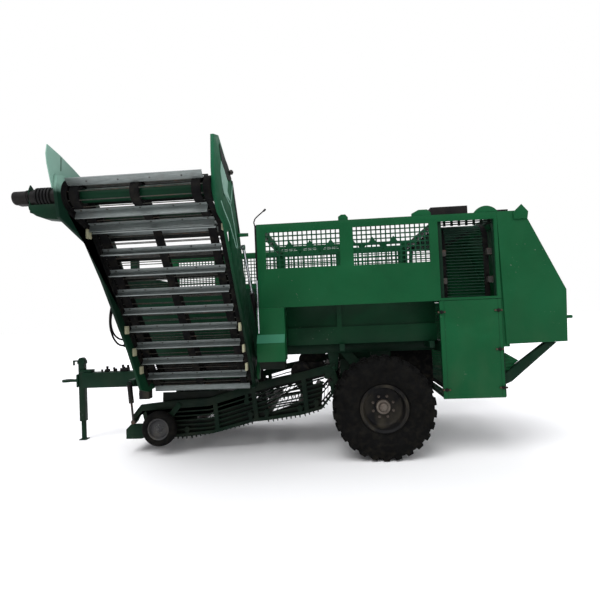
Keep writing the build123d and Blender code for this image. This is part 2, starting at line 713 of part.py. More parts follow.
# Gauge wheels, tyre and rim in one
gauge_profile = (
    (-62, 140), (-62, 190), (-40, 220), (40, 220), (62, 190), (62, 140), (45, 128), (18, 118), (18, 60), (38, 50),
    (38, gauge_pin + running_gap), (-38, gauge_pin + running_gap), (-38, 50), (-2, 60), (-2, 118), (-45, 128),
)
for side_name, side in sides:
    with BuildPart() as gauge_wheel:
        with BuildSketch(cross_plane(gauge_x)):
            Polygon(*[(side * (gauge_y + a), gauge_z + r) for a, r in gauge_profile], align=None)
        revolve(axis=Axis((gauge_x, 0, gauge_z), (0, 1, 0)))
    save(gauge_wheel, f"gauge_wheel_{side_name}")


def cylinder_pair(name, plane, base, eye, barrel_radius, barrel_end, bore, rod_radius, rod_in, width, pin_reach):
    """A hydraulic cylinder from its base pin to its rod's eye, in the plane through its middle.

    The pin at the eye belongs to the rod, and ends just short of the plate that it holds.
    """
    length = hypot(eye[0] - base[0], eye[1] - base[1])
    ux, uy = (eye[0] - base[0]) / length, (eye[1] - base[1]) / length
    start = plane.origin + plane.x_dir * base[0] + plane.y_dir * base[1]
    along = plane.x_dir * ux + plane.y_dir * uy
    down = Plane(origin=start, x_dir=plane.z_dir, z_dir=along)
    ear = lift_pin + 14
    with BuildPart() as barrel:
        with BuildSketch(plane):
            with Locations(base):
                Circle(ear)
        extrude(amount=width / 2, both=True)
        with BuildSketch(down.offset(ear - 4)):
            Circle(barrel_radius)
        extrude(amount=barrel_end - ear + 4)
        with BuildSketch(down.offset(ear + 8)):
            Circle(bore)
        extrude(amount=barrel_end, mode=Mode.SUBTRACT)
        with BuildSketch(plane):
            with Locations(base):
                Circle(lift_pin + running_gap)
        extrude(amount=width, both=True, mode=Mode.SUBTRACT)
    save(barrel, name.format("barrel"))
    with BuildPart() as piston_rod:
        with BuildSketch(plane):
            with Locations(eye):
                Circle(ear)
        extrude(amount=width / 2, both=True)
        with BuildSketch(down.offset(barrel_end - rod_in)):
            Circle(rod_radius)
        extrude(amount=length - ear + 4 - barrel_end + rod_in)
        with BuildSketch(plane):
            with Locations(eye):
                Circle(lift_pin)
        extrude(amount=pin_reach)
    save(piston_rod, name.format("rod"))


# Lift cylinders of the digging unit
for side_name, side in sides:
    cylinder_pair("lift_{}_" + side_name, side_plane(side * lift_y), lift_top, hook_eye,
                  32, 250, 16, 14, 58, 36, side * (lift_y - digger_outer_y - seat_gap))

# Elevator: side frames
with BuildPart() as elevator_wall_rear:
    with BuildSketch(cross_plane(wall_rear_x)):
        Polygon(*rear_wall_top, *rear_wall_low, *tail_edge, align=None)
        for corners in lattice:
            Polygon(*corners, align=None, mode=Mode.SUBTRACT)
        with Locations(tail):
            Circle(pivot_pin + running_gap, mode=Mode.SUBTRACT)
    extrude(amount=wall_thickness)
save(elevator_wall_rear, "elevator_wall_rear")
with BuildPart() as elevator_wall_front:
    with BuildSketch(cross_plane(wall_front_x)):
        Polygon(*front_wall_top, *front_wall_low, *tail_edge, align=None)
        with Locations(tail):
            Circle(pivot_pin + running_gap, mode=Mode.SUBTRACT)
    extrude(amount=wall_thickness)
save(elevator_wall_front, "elevator_wall_front")

# Elevator: belts with rods, and the flights that stand out of them
elevator_groups = (((*tail, strand_radius), (*knee, strand_radius)), ((*knee, strand_radius), (*head, strand_radius)))
elevator_mid = cross_plane(mid(*elevator_x))
elevator_half = (elevator_x[1] - elevator_x[0]) / 2
rod_web("elevator_web", elevator_mid, elevator_groups, elevator_half, belt_stations, flight_pitch / 3,
        elevator_belt_width)
flight_lift = belt_thickness / 2 + seat_gap + flight_height / 2
with BuildPart() as elevator_flights:
    for place in around(elevator_mid, elevator_groups, flight_pitch):
        with Locations(place.offset(0) * Location((0, flight_lift, 0))):
            Box(flight_thickness, flight_height, 2 * elevator_half)
save(elevator_flights, "elevator_flights")

# Elevator: three tubes from wall to wall, with a sprocket under each belt; the tail's is bored for its pins
with BuildPart() as elevator_rollers:
    for y, z in (tail, knee, head):
        with BuildSketch(cross_plane(wall_rear_x + wall_thickness + seat_gap)):
            with Locations((y, z)):
                Circle(elevator_tube)
                if (y, z) == tail:
                    Circle(pivot_pin + running_gap, mode=Mode.SUBTRACT)
        extrude(amount=wall_front_x - wall_rear_x - wall_thickness - 2 * seat_gap)
        for station in belt_stations:
            with BuildSketch(elevator_mid.offset(station - elevator_belt_width / 2)):
                with Locations((y, z)):
                    Circle(strand_radius - belt_thickness / 2 - seat_gap)
            extrude(amount=elevator_belt_width)
save(elevator_rollers, "elevator_rollers")

# Elevator: pale fin at the head, and the drive motor on its bracket
fin_x = wall_front_x + wall_thickness + seat_gap
with BuildPart() as head_fin:
    with BuildSketch(cross_plane(fin_x)):
        Polygon((2930, 3245), (2915, 2960), (2560, 2960), (2400, 3110), (2560, 3130), align=None)
    extrude(amount=10)
save(head_fin, "head_fin")
with BuildPart() as head_motor:
    with Locations((mid(fin_x, 3060), head[0] + 20, head[1] - 40)):
        Box(3060 - fin_x, 190, 170)
    with BuildSketch(cross_plane(3060)):
        with Locations(head):
            Circle(58)
    extrude(amount=120)
    with BuildSketch(cross_plane(3180)):
        with Locations(head):
            Circle(44)
    extrude(amount=170)
save(head_motor, "head_motor")

# Elevator: bracket beside the motor, a plate on a short foot
with BuildPart() as motor_bracket:
    with BuildSketch(cross_plane(2915)):
        with BuildLine():
            Polyline((2810, 2690), (2810, 2880), (3054, 2857), (3098, 2667))
            ThreePointArc((3098, 2667), (2960, 2716), (2810, 2690))
        make_face()
    extrude(amount=10)
    with Locations((mid(fin_x, 2920), 2830, 2740)):
        Box(2920 - fin_x, 36, 60)
save(motor_bracket, "motor_bracket")

# Elevator cylinder, beside its rear side frame
cylinder_pair("elevator_{}", cross_plane(lift_cylinder_x), elevator_base, elevator_eye,
              30, 780, 18, 16, 690, 36, wall_rear_x - lift_cylinder_x - seat_gap)


def bend_radii(route):
    """Largest arcs that two neighbouring runs allow at each inner point."""
    radii = []
    for before, here, after in zip(route, route[1:], route[2:]):
        arrive, leave = Vector(*here) - Vector(*before), Vector(*after) - Vector(*here)
        half_turn = radians(arrive.get_angle(leave)) / 2
        radii.append(0.45 * min(arrive.length, leave.length) / tan(half_turn))
    return radii


# Two hydraulic hoses that hang beside the elevator, each between two ports on its front side frame
hose_radius = 10
hose_routes = {
    "hose_upper": (
        (2885, 1800, 2190), (2885, 1800, 2105), (2895, 1818, 2005), (2906, 1855, 1895), (2910, 1888, 1785),
        (2908, 1890, 1675), (2902, 1853, 1575), (2894, 1780, 1503), (2885, 1690, 1466), (2885, 1600, 1466),
    ),
    "hose_lower": (
        (2890, 1745, 2130), (2890, 1745, 2050), (2905, 1765, 1955), (2925, 1800, 1858), (2933, 1828, 1760),
        (2931, 1822, 1668), (2922, 1778, 1593), (2908, 1710, 1548), (2890, 1640, 1530), (2890, 1565, 1530),
    ),
}
for hose_name, route in hose_routes.items():
    radii = bend_radii(route)
    with BuildPart() as hose:
        with BuildLine() as path:
            FilletPolyline(*route, radius=radii)
        with BuildSketch(Plane(origin=path.line @ 0, z_dir=path.line % 0)):
            Circle(hose_radius)
        sweep()
    tube_length = path.wire().length
    print(hose_name, "bend radii", [round(value) for value in radii], "length", round(tube_length),
          "volume over section times length", round(hose.part.volume / (pi * hose_radius**2 * tube_length), 4))
    save(hose, hose_name)

# Ports of the two hoses: the upper end points down, the lower end points to the right
port = 40
with BuildPart() as hose_ports:
    for route in hose_routes.values():
        (x0, y0, z0), (x1, y1, z1) = route[0], route[-1]
        depth = x0 + port / 2 - fin_x
        with Locations((fin_x + depth / 2, y0, z0 + port / 2), (fin_x + depth / 2, y1 - port / 2, z1)):
            Box(depth, port, port)
save(hose_ports, "hose_ports")
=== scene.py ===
import json
from math import atan2, cos, hypot, pi, radians, sin

import bpy
from mathutils import Matrix, Vector

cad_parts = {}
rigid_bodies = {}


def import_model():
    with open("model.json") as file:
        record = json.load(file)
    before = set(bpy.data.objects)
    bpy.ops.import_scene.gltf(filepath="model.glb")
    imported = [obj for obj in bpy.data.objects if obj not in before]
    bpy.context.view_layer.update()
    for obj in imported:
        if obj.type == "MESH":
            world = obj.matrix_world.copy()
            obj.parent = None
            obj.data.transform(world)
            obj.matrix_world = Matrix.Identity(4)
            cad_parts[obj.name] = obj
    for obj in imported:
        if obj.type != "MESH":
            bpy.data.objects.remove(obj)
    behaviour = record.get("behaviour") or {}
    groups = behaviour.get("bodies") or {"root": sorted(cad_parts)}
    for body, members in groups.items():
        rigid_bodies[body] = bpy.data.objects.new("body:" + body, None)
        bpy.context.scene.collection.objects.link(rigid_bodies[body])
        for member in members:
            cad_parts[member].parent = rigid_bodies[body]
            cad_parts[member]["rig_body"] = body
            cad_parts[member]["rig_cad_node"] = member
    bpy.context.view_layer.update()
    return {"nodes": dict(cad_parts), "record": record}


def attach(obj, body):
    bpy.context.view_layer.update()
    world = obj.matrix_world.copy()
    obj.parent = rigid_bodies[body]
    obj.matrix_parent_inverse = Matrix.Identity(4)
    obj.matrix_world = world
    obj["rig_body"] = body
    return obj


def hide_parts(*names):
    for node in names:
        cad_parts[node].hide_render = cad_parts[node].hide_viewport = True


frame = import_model()

# Looks of the trailed potato harvester, in metres: X forward, Y left, Z up, ground at zero.
both_sides = (("left", 1), ("right", -1))


def metres(*points):
    """Points that are listed in millimetres."""
    return tuple(tuple(number / 1000 for number in point) for point in points)


def flipped(points):
    """The other half of a section that is alike on both sides of zero."""
    return tuple((-across, up) for across, up in points[::-1])


# Camera: fitted to the photograph's 600 pixel frame
camera_place = Vector((0.57, 6.513, 1.756))
camera_yaw, camera_pitch, camera_roll = 0.067, 0.027, 0.042
focal_pixels, frame_pixels, sensor = 449.5, 600, 36


def make_camera():
    ahead = Vector((
        sin(camera_yaw) * cos(camera_pitch), -cos(camera_yaw) * cos(camera_pitch), sin(camera_pitch),
    ))
    right = ahead.cross(Vector((0, 0, 1))).normalized()
    up = right.cross(ahead)
    turned_right = cos(camera_roll) * right - sin(camera_roll) * up
    turned_up = cos(camera_roll) * up + sin(camera_roll) * right
    data = bpy.data.cameras.new("photo_camera")
    data.sensor_width = sensor
    data.lens = focal_pixels / frame_pixels * sensor
    data.clip_end = 200
    camera = bpy.data.objects.new("photo_camera", data)
    bpy.context.scene.collection.objects.link(camera)
    turn = Matrix((turned_right, turned_up, -ahead)).transposed()
    camera.matrix_world = Matrix.Translation(camera_place) @ turn.to_4x4()
    bpy.context.scene.camera = camera


# Materials


def tone(red, green, blue):
    """A colour read as 0 to 255 on screen, made linear for the shader."""
    def linear(value):
        share = value / 255
        return share / 12.92 if share <= 0.04045 else ((share + 0.055) / 1.055) ** 2.4
    return (linear(red), linear(green), linear(blue), 1)


class Nodes:
    """A node tree, with a short call for a node and its links."""

    def __init__(self, tree):
        self.tree = tree

    def node(self, kind, *sources, values=(), **settings):
        """A node whose first inputs take these outputs and whose named inputs take these values."""
        made = self.tree.nodes.new(kind)
        for key, value in settings.items():
            setattr(made, key, value)
        for source, socket in zip(sources, made.inputs):
            self.link(source, socket)
        for key, value in values:
            made.inputs[key].default_value = value
        return made

    def link(self, output, socket):
        self.tree.links.new(output, socket)


class Finish(Nodes):
    """A node material that reads Object coordinates, with short calls for its layers."""

    def __init__(self, name, roughness, metallic=0.0, specular=0.5):
        self.material = bpy.data.materials.new(name)
        self.material.use_nodes = True
        super().__init__(self.material.node_tree)
        self.shader = self.tree.nodes["Principled BSDF"]
        for key, value in (("Roughness", roughness), ("Metallic", metallic), ("Specular IOR Level", specular)):
            self.shader.inputs[key].default_value = value
        self.place = self.node("ShaderNodeTexCoord").outputs["Object"]

    def noise(self, scale, detail=4, stretch=(1, 1, 1), distortion=0.0):
        mapping = self.node("ShaderNodeMapping", self.place, values=[("Scale", stretch)])
        made = self.node("ShaderNodeTexNoise", mapping.outputs["Vector"],
                         values=(("Scale", scale), ("Detail", detail), ("Distortion", distortion)))
        return made.outputs["Fac"]

    def height(self):
        return self.node("ShaderNodeSeparateXYZ", self.place).outputs["Z"]

    def between(self, value, low, high, to_low=0.0, to_high=1.0):
        made = self.node("ShaderNodeMapRange", value,
                         values=(("From Min", low), ("From Max", high), ("To Min", to_low), ("To Max", to_high)))
        return made.outputs["Result"]

    def combined(self, operation, first, second):
        return self.node("ShaderNodeMath", first, second, operation=operation).outputs["Value"]

    def shades(self, value, *stops):
        """A colour ramp over the value; each stop is a place and a colour as on screen."""
        made = self.node("ShaderNodeValToRGB", value)
        ramp = made.color_ramp
        while len(ramp.elements) < len(stops):
            ramp.elements.new(0.5)
        for element, (place, colour) in zip(ramp.elements, stops):
            element.position = place
            element.color = tone(*colour)
        return made.outputs["Color"]

    def over(self, amount, below, above):
        """A colour as on screen, laid over what is below by this amount."""
        return self.node("ShaderNodeMixRGB", amount, below, values=[("Color2", tone(*above))]).outputs["Color"]

    def coloured(self, colour):
        self.link(colour, self.shader.inputs["Base Color"])

    def done(self, colour, patches, smooth, rough, *bumps):
        """Links the colour, the roughness and the bumps: each a value, its height in metres and its strength."""
        self.coloured(colour)
        self.link(self.between(patches, 0.3, 0.7, smooth, rough), self.shader.inputs["Roughness"])
        normal = None
        for value, distance, strength in bumps:
            bump = self.node("ShaderNodeBump", values=(("Distance", distance), ("Strength", strength)))
            self.link(value, bump.inputs["Height"])
            if normal is not None:
                self.link(normal, bump.inputs["Normal"])
            normal = bump.outputs["Normal"]
        self.link(normal, self.shader.inputs["Normal"])
        return self.material

    def enamelled(self, colour, smooth, rough):
        """Sprayed enamel: orange peel over the waves of the sheet."""
        return self.done(colour, self.noise(9, 6), smooth, rough,
                         (self.noise(1.1, 2), 0.006, 0.35), (self.noise(420, 2), 0.0004, 0.25))


# Colours as on screen, and how strongly enamel and rubber shine
dust_tone = (116, 108, 88)
bare_metal = (128, 128, 124)
rust_tone = (88, 56, 38)
enamel_specular, rubber_specular = 0.09, 0.05
shading_low, shading_high = 0.8, 3.4


def paint(name, dark, middle, light, roughness=0.42, dust=0.16, chips=0.5):
    """Enamel with a cloudy tone, dust towards the ground and a few chips."""
    finish = Finish(name, roughness, specular=enamel_specular)
    colour = finish.shades(finish.noise(1.7, 5, distortion=0.6), (0.3, dark), (0.5, middle), (0.72, light))
    low = finish.between(finish.height(), 0.1, 1.9, 1.0, 0.12)
    grime = finish.between(finish.noise(6.0, 8, stretch=(1, 1, 0.45)), 0.42, 0.75, 0.0, dust)
    colour = finish.over(finish.combined("MULTIPLY", low, grime), colour, dust_tone)
    flecks = finish.between(finish.noise(38, 3), 0.70, 0.74, 0.0, chips)
    patches = finish.between(finish.noise(2.3, 2), 0.52, 0.68)
    colour = finish.over(finish.combined("MULTIPLY", flecks, patches), colour, bare_metal)
    return finish.enamelled(colour, roughness - 0.08, roughness + 0.14)


def height_shaded_paint(name, *levels):
    """Enamel whose tone changes with height, as painted shade and painted light; each level is a height in metres and
    a colour.
    """
    finish = Finish(name, 0.45, specular=enamel_specular)
    wander = finish.between(finish.noise(2.6, 5, distortion=0.5), 0.3, 0.7, -0.08, 0.08)
    lift = finish.between(finish.combined("ADD", finish.height(), wander), shading_low, shading_high)
    stops = [((z - shading_low) / (shading_high - shading_low), colour) for z, colour in levels]
    return finish.enamelled(finish.shades(lift, *stops), 0.38, 0.58)


def rubber(name, dark, light, dust, dust_height):
    """Matt rubber with scuffs and dry soil that thins out upwards."""
    finish = Finish(name, 0.82, specular=rubber_specular)
    colour = finish.shades(finish.noise(7, 6), (0.35, dark), (0.68, light))
    soil = finish.between(finish.noise(16, 8, distortion=0.4), 0.45, 0.8, 0.0, dust)
    low = finish.between(finish.height(), 0.0, dust_height, 1.0, 0.35)
    colour = finish.over(finish.combined("MULTIPLY", soil, low), colour, dust_tone)
    return finish.done(colour, finish.noise(22, 5), 0.72, 0.95,
                       (finish.noise(55, 4), 0.002, 0.5), (finish.noise(500, 2), 0.0004, 0.4))


def bare_steel(name, dark, light, rust, roughness=0.4, grain=(1, 60, 60)):
    """Steel rubbed bright by the crop, with grain along the bar and rust in patches."""
    finish = Finish(name, roughness, metallic=0.55)
    streaks = finish.noise(9, 6, stretch=grain)
    colour = finish.shades(streaks, (0.3, dark), (0.7, light))
    patches = finish.between(finish.noise(11, 7, distortion=0.8), 0.52, 0.74, 0.0, rust)
    return finish.done(finish.over(patches, colour, rust_tone), finish.noise(30, 5), roughness - 0.1, roughness + 0.22,
                       (streaks, 0.0006, 0.4), (finish.noise(160, 3), 0.0006, 0.3))


def plated(name):
    """Ground and plated rod: bright, with faint rings and an oily haze."""
    finish = Finish(name, 0.16, metallic=1.0)
    colour = finish.shades(finish.noise(24, 4), (0.3, (176, 180, 186)), (0.7, (214, 217, 220)))
    return finish.done(colour, finish.noise(14, 4), 0.10, 0.30, (finish.noise(300, 2, stretch=(1, 1, 4)), 0.0001, 0.2))


def moulded(name, dark, light, roughness=0.6):
    """Plain moulded plastic, dusty in its grain."""
    finish = Finish(name, roughness)
    colour = finish.shades(finish.noise(30, 6), (0.3, dark), (0.7, light))
    return finish.done(colour, finish.noise(60, 4), roughness - 0.1, roughness + 0.15,
                       (finish.noise(260, 3), 0.0005, 0.4))


finishes = {
    "green_paint": paint("green_enamel", (13, 69, 39), (15, 74, 42), (18, 80, 47), dust=0.08),
    "dark_green_paint": paint("shaded_green_enamel", (8, 31, 20), (11, 38, 25), (15, 46, 31), dust=0.05),
    "pale_green_paint": paint("sunlit_green_enamel", (122, 159, 144), (129, 166, 151), (136, 173, 158), dust=0.1),
    "tyre_rubber": rubber("tyre_rubber", (10, 10, 10), (15, 15, 15), 0.05, 1.2),
    "belt_rubber": rubber("belt_rubber", (11, 11, 12), (21, 21, 22), 0.12, 3.0),
    "hose_rubber": rubber("hose_rubber", (10, 10, 11), (18, 18, 19), 0.10, 3.0),
    "black_paint": paint("black_enamel", (14, 14, 15), (20, 20, 21), (28, 27, 27), 0.5, dust=0.3),
    "flight_steel": bare_steel("flight_steel", (100, 108, 107), (142, 149, 147), 0.14),
    "dark_steel": bare_steel("dark_steel", (40, 38, 36), (68, 66, 62), 0.7, 0.5, grain=(1, 1, 30)),
    "cylinder_black": paint("cylinder_enamel", (13, 13, 14), (18, 18, 19), (26, 26, 27), 0.34, dust=0.2),
    "rod_chrome": plated("plated_rod"),
    "wheel_grey": paint("silver_enamel", (60, 60, 61), (74, 74, 75), (92, 92, 93), 0.4, dust=0.4),
}
mesh_paint = paint("shaded_mesh_enamel", (14, 52, 34), (18, 62, 41), (24, 72, 48), dust=0.06)
# Painted shade: the digging unit under the body is painted a near-black green.
digger_shade_paint = paint("digger_shaded_enamel", (6, 20, 13), (8, 27, 17), (12, 36, 24), dust=0.06)
# Painted shade: the front bay, shaded by the elevator, and the elevator's tubes are painted a darker green.
bay_shade_paint = paint("bay_shaded_enamel", (7, 33, 21), (9, 41, 26), (13, 50, 32), dust=0.05)
# Painted shade: the recessed inner walls are painted a darker green.
recess_shade_paint = paint("recess_shaded_enamel", (7, 38, 22), (8, 45, 26), (11, 54, 32), dust=0.04)
shaded_steel = bare_steel("shaded_steel", (13, 17, 15), (27, 32, 29), 0.15, 0.6)
# Painted shade, near black: the rear wall's rim, the digging unit's inner sheet, the guards' trays and the ring
# window's lattice.
inner_shade_paint = paint("shaded_inner_enamel", (5, 12, 8), (7, 17, 11), (10, 23, 15), dust=0.05)
fold_paint = paint("lit_fold_enamel", (46, 108, 82), (52, 116, 89), (58, 124, 96), dust=0.05)
rusty_bolt = bare_steel("rusty_bolt", (62, 50, 40), (92, 76, 60), 0.6, 0.6, grain=(1, 1, 1))
# Painted shade and painted light on the elevator's walls: the rear wall darkens towards the bottom, the front wall is
# shaded dark from about 1.6 m up, and its pale top edge is a painted highlight.
rear_wall_paint = height_shaded_paint("rear_wall_enamel", (0.9, (7, 26, 16)), (1.8, (9, 36, 22)),
                              (2.5, (14, 62, 38)), (3.2, (26, 88, 60)))
front_wall_paint = height_shaded_paint("front_wall_enamel", (0.9, (11, 52, 31)), (1.35, (9, 42, 26)),
                               (1.75, (8, 29, 19)), (2.90, (8, 35, 24)), (2.98, (122, 159, 144)))
web_rod_steel = bare_steel("web_rod_steel", (34, 35, 32), (62, 62, 56), 0.6, 0.5, grain=(8, 8, 8))
green_rod = paint("green_rod_coating", (12, 36, 26), (17, 46, 34), (24, 60, 45), dust=0.3, chips=0.8)
hub_bronze = bare_steel("hub_bronze", (72, 64, 58), (104, 96, 88), 0.15, 0.5, grain=(1, 1, 1))
guide_cream = moulded("guide_block_cream", (138, 136, 108), (168, 166, 138))
bolt_zinc = bare_steel("bolt_zinc", (60, 61, 60), (96, 98, 95), 0.5, 0.45, grain=(1, 1, 1))


# Shaping tools


def only(*pieces):
    """Selects these pieces alone, the first one active."""
    bpy.ops.object.select_all(action="DESELECT")
    for piece in pieces:
        piece.select_set(True)
    bpy.context.view_layer.objects.active = pieces[0]


def settled(piece):
    """Puts the object at the origin, with its place in its mesh."""
    only(piece)
    bpy.ops.object.transform_apply(location=True, rotation=True, scale=True)
    return piece


def finished(piece, name, body, slot, material=None, smooth=35, node=None):
    """Names a piece, gives it its finish and hangs it on its body; it may stand for a CAD node."""
    piece.name = name
    piece.data.name = name
    piece.data.materials.clear()
    piece.data.materials.append(material or finishes[slot])
    only(piece)
    bpy.ops.object.shade_smooth_by_angle(angle=radians(smooth))
    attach(piece, body)
    if node:
        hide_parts(node)


def edit_all(piece):
    only(piece)
    bpy.ops.object.mode_set(mode="EDIT")
    bpy.ops.mesh.select_all(action="SELECT")


def leave_edit():
    bpy.ops.object.mode_set(mode="OBJECT")


def outward(piece):
    edit_all(piece)
    bpy.ops.mesh.remove_doubles(threshold=0.00002)
    bpy.ops.mesh.normals_make_consistent(inside=False)
    leave_edit()
    return piece


def changed(piece, kind, **settings):
    """Puts a modifier with these settings on the piece and applies it."""
    modifier = piece.modifiers.new("change", kind)
    for key, value in settings.items():
        setattr(modifier, key, value)
    only(piece)
    bpy.ops.object.modifier_apply(modifier=modifier.name)
    return piece


def rounded(piece, width, segments=2, angle=30, clamp=True):
    """Rounds the edges that are sharper than the angle."""
    return changed(piece, "BEVEL", width=width, segments=segments, limit_method="ANGLE", angle_limit=radians(angle),
                   use_clamp_overlap=clamp)


def thickened(piece, thickness):
    """A sheet given its thickness, half to each side."""
    return changed(piece, "SOLIDIFY", thickness=thickness, offset=0)


def cut_by(piece, cutter):
    """The piece less the cutter, which goes."""
    changed(piece, "BOOLEAN", operation="DIFFERENCE", solver="EXACT", object=cutter)
    bpy.data.objects.remove(cutter)
    return piece


def face(corners, fill="NGON"):
    """A flat face, or with no fill its rim: a circle whose corners move to these points."""
    bpy.ops.object.select_all(action="DESELECT")
    bpy.ops.mesh.primitive_circle_add(vertices=len(corners), fill_type=fill)
    piece = bpy.context.object
    for vertex, corner in zip(piece.data.vertices, corners):
        vertex.co = corner
    return piece


def slab(corners, reach, edge=0.0):
    """A plate with this outline, extruded by the reach vector."""
    piece = face(corners)
    edit_all(piece)
    bpy.ops.mesh.extrude_region_move(TRANSFORM_OT_translate={"value": reach})
    leave_edit()
    outward(piece)
    return rounded(piece, edge) if edge else piece


def panel(outline, y, depth, edge=0.0):
    """A plate that stands along the machine: its outline in x and z, and its depth from y."""
    return slab([(x, y, z) for x, z in outline], (0, depth, 0), edge)


def cross_panel(outline, x, depth, edge=0.0):
    """A plate that stands across the machine: its outline in y and z, and its depth from x."""
    return slab([(x, y, z) for y, z in outline], (depth, 0, 0), edge)


def block(low, high, edge=0.003, segments=2):
    """A box between two corners with its edges rounded."""
    bpy.ops.object.select_all(action="DESELECT")
    bpy.ops.mesh.primitive_cube_add(size=1, location=[(a + b) / 2 for a, b in zip(low, high)])
    piece = bpy.context.object
    piece.scale = [abs(b - a) for a, b in zip(low, high)]
    settled(piece)
    return rounded(piece, edge, segments) if edge else piece


def bar(start, end, radius, sides, edge=0.0):
    """A bar between two points, round where it has many sides."""
    start, end = Vector(start), Vector(end)
    line = end - start
    bpy.ops.object.select_all(action="DESELECT")
    bpy.ops.mesh.primitive_cylinder_add(
        vertices=sides, radius=radius, depth=line.length, location=(start + end) / 2,
        rotation=line.to_track_quat("Z", "Y").to_euler(),
    )
    piece = settled(bpy.context.object)
    return rounded(piece, edge, 2, 50) if edge else piece


def turned(section, centre, side, steps):
    """A section of (distance along the axle, radius) swept once round an axle line."""
    x, y, z = centre
    piece = face([(x, y + side * along_axle, z + radius) for along_axle, radius in section], "NOTHING")
    edit_all(piece)
    bpy.ops.mesh.spin(steps=steps, angle=2 * pi, center=centre, axis=(0, 1, 0))
    leave_edit()
    return outward(piece)


def joined(pieces):
    """One mesh from several pieces."""
    only(*pieces)
    bpy.ops.object.join()
    return bpy.context.object


def copied(piece):
    """A copy of the piece with its own mesh."""
    copy = piece.copy()
    copy.data = piece.data.copy()
    bpy.context.scene.collection.objects.link(copy)
    return copy


def repeated(template, places):
    """One mesh with a copy of the template at each place, a matrix; the template goes."""
    copies = []
    for place in places:
        copies.append(copied(template))
        copies[-1].data.transform(place)
    bpy.data.objects.remove(template)
    return joined(copies)


def about(centre, angle, axis="Y"):
    """A turn about the line through the centre that runs along the axis."""
    return Matrix.Translation(centre) @ Matrix.Rotation(angle, 4, axis) @ Matrix.Translation(-Vector(centre))


def hex_bolt(radius, height):
    """A hexagon head with its washer, along +Z from the origin."""
    head = rounded(bar((0, 0, height * 0.3), (0, 0, height), radius, 6), radius * 0.12, 1)
    washer = bar((0, 0, 0), (0, 0, height * 0.3), radius * 1.35, 16)
    return joined([head, washer])


def facing(place, direction):
    """A matrix that moves a +Z template to a place, turned to the direction."""
    return Matrix.Translation(place) @ Vector(direction).to_track_quat("Z", "Y").to_matrix().to_4x4()


def bolt_circle(centre, side, proud, radius, count, shift):
    """Places on a circle round an axle line, facing outwards; the shift is a share of their spacing."""
    places = []
    for i in range(count):
        angle = 2 * pi * (i + shift) / count
        places.append(facing(centre + Vector((radius * cos(angle), side * proud, radius * sin(angle))), (0, side, 0)))
    return places


def softened(node, material=None, cutter=None):
    """A copy of a CAD node, which it stands for: its flat faces whole, its edges rounded, less the cutter."""
    copy = copied(frame["nodes"][node])
    copy.parent = None
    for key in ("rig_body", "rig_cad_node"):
        if key in copy:
            del copy[key]
    only(copy)
    bpy.ops.mesh.customdata_custom_splitnormals_clear()
    edit_all(copy)
    bpy.ops.mesh.remove_doubles(threshold=0.00005)
    bpy.ops.mesh.normals_make_consistent(inside=False)
    bpy.ops.mesh.dissolve_limited(angle_limit=radians(1.5))
    leave_edit()
    if cutter:
        cut_by(copy, cutter)
    rounded(copy, node_edge, 2, 38, clamp=False)
    finished(copy, f"{node}_shaped", node_body[node], node_slot[node], material, node=node)


node_edge = 0.003
node_slot = {part["node"]: part["material_slot"] for part in frame["record"]["subparts"]}
node_body = {node: body for body, nodes in frame["record"]["behaviour"]["bodies"].items() for node in nodes}


def dress_cad_nodes():
    """Every CAD node gets the finish of its slot."""
    for node, piece in frame["nodes"].items():
        for slot in piece.material_slots:
            slot.material = finishes[node_slot[node]]


# Hoses: the routes of the CAD, as smooth splines
hose_radius = 0.010
hose_routes = {
    "hose_upper": (0.920, (
        (2.885, 1.800, 2.190), (2.885, 1.800, 2.105), (2.895, 1.818, 2.005), (2.906, 1.855, 1.895),
        (2.910, 1.888, 1.785), (2.908, 1.890, 1.675), (2.902, 1.853, 1.575), (2.894, 1.780, 1.503),
        (2.885, 1.690, 1.466), (2.885, 1.600, 1.466),
    )),
    "hose_lower": (0.792, (
        (2.890, 1.745, 2.130), (2.890, 1.745, 2.050), (2.905, 1.765, 1.955), (2.925, 1.800, 1.858),
        (2.933, 1.828, 1.760), (2.931, 1.822, 1.668), (2.922, 1.778, 1.593), (2.908, 1.710, 1.548),
        (2.890, 1.640, 1.530), (2.890, 1.565, 1.530),
    )),
}


def make_hoses():
    for name, (length, route) in hose_routes.items():
        curve = bpy.data.curves.new(name + "_line", "CURVE")
        curve.dimensions = "3D"
        curve.bevel_depth = hose_radius
        curve.bevel_resolution = 5
        curve.resolution_u = 12
        spline = curve.splines.new("NURBS")
        spline.points.add(len(route) - 1)
        for point, place in zip(spline.points, route):
            point.co = (*place, 1)
        spline.order_u = 3
        spline.use_endpoint_u = True
        hose = bpy.data.objects.new(name + "_line", curve)
        bpy.context.scene.collection.objects.link(hose)
        curve.materials.append(finishes["hose_rubber"])
        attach(hose, "elevator")
        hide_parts(name)


# Road wheels
wheel_radius, wheel_y = 0.600, 1.060
tread_radius, lug_count = 0.566, 26
lug_lift, lug_clearance, lug_sunk, lug_edge = 0.05, 0.0008, 0.012, 0.004
lug_taper, shoulder_start, shoulder_slope, foot_slope = 0.86, 0.185, 0.30, 1.25
middle_half_width, middle_drop = 0.03, 0.004
hub_studs, stud_circle, disc_face = 8, 0.128, 0.044
valve_foot, valve_tip, valve_radius = (0.150, 0.060), (0.146, 0.098), 0.005
tyre_flank = metres(
    (-178, 256), (-186, 272), (-196, 292), (-216, 300), (-224, 318), (-232, 345), (-238, 378), (-239, 410),
    (-240, 418), (-238, 426), (-236, 450), (-231, 482), (-224, 522), (-212, 552), (-188, 571), (-140, 578),
    (-60, 580),
)
tyre_section = tyre_flank + flipped(tyre_flank) + metres((150, 262), (0, 270), (-150, 262))
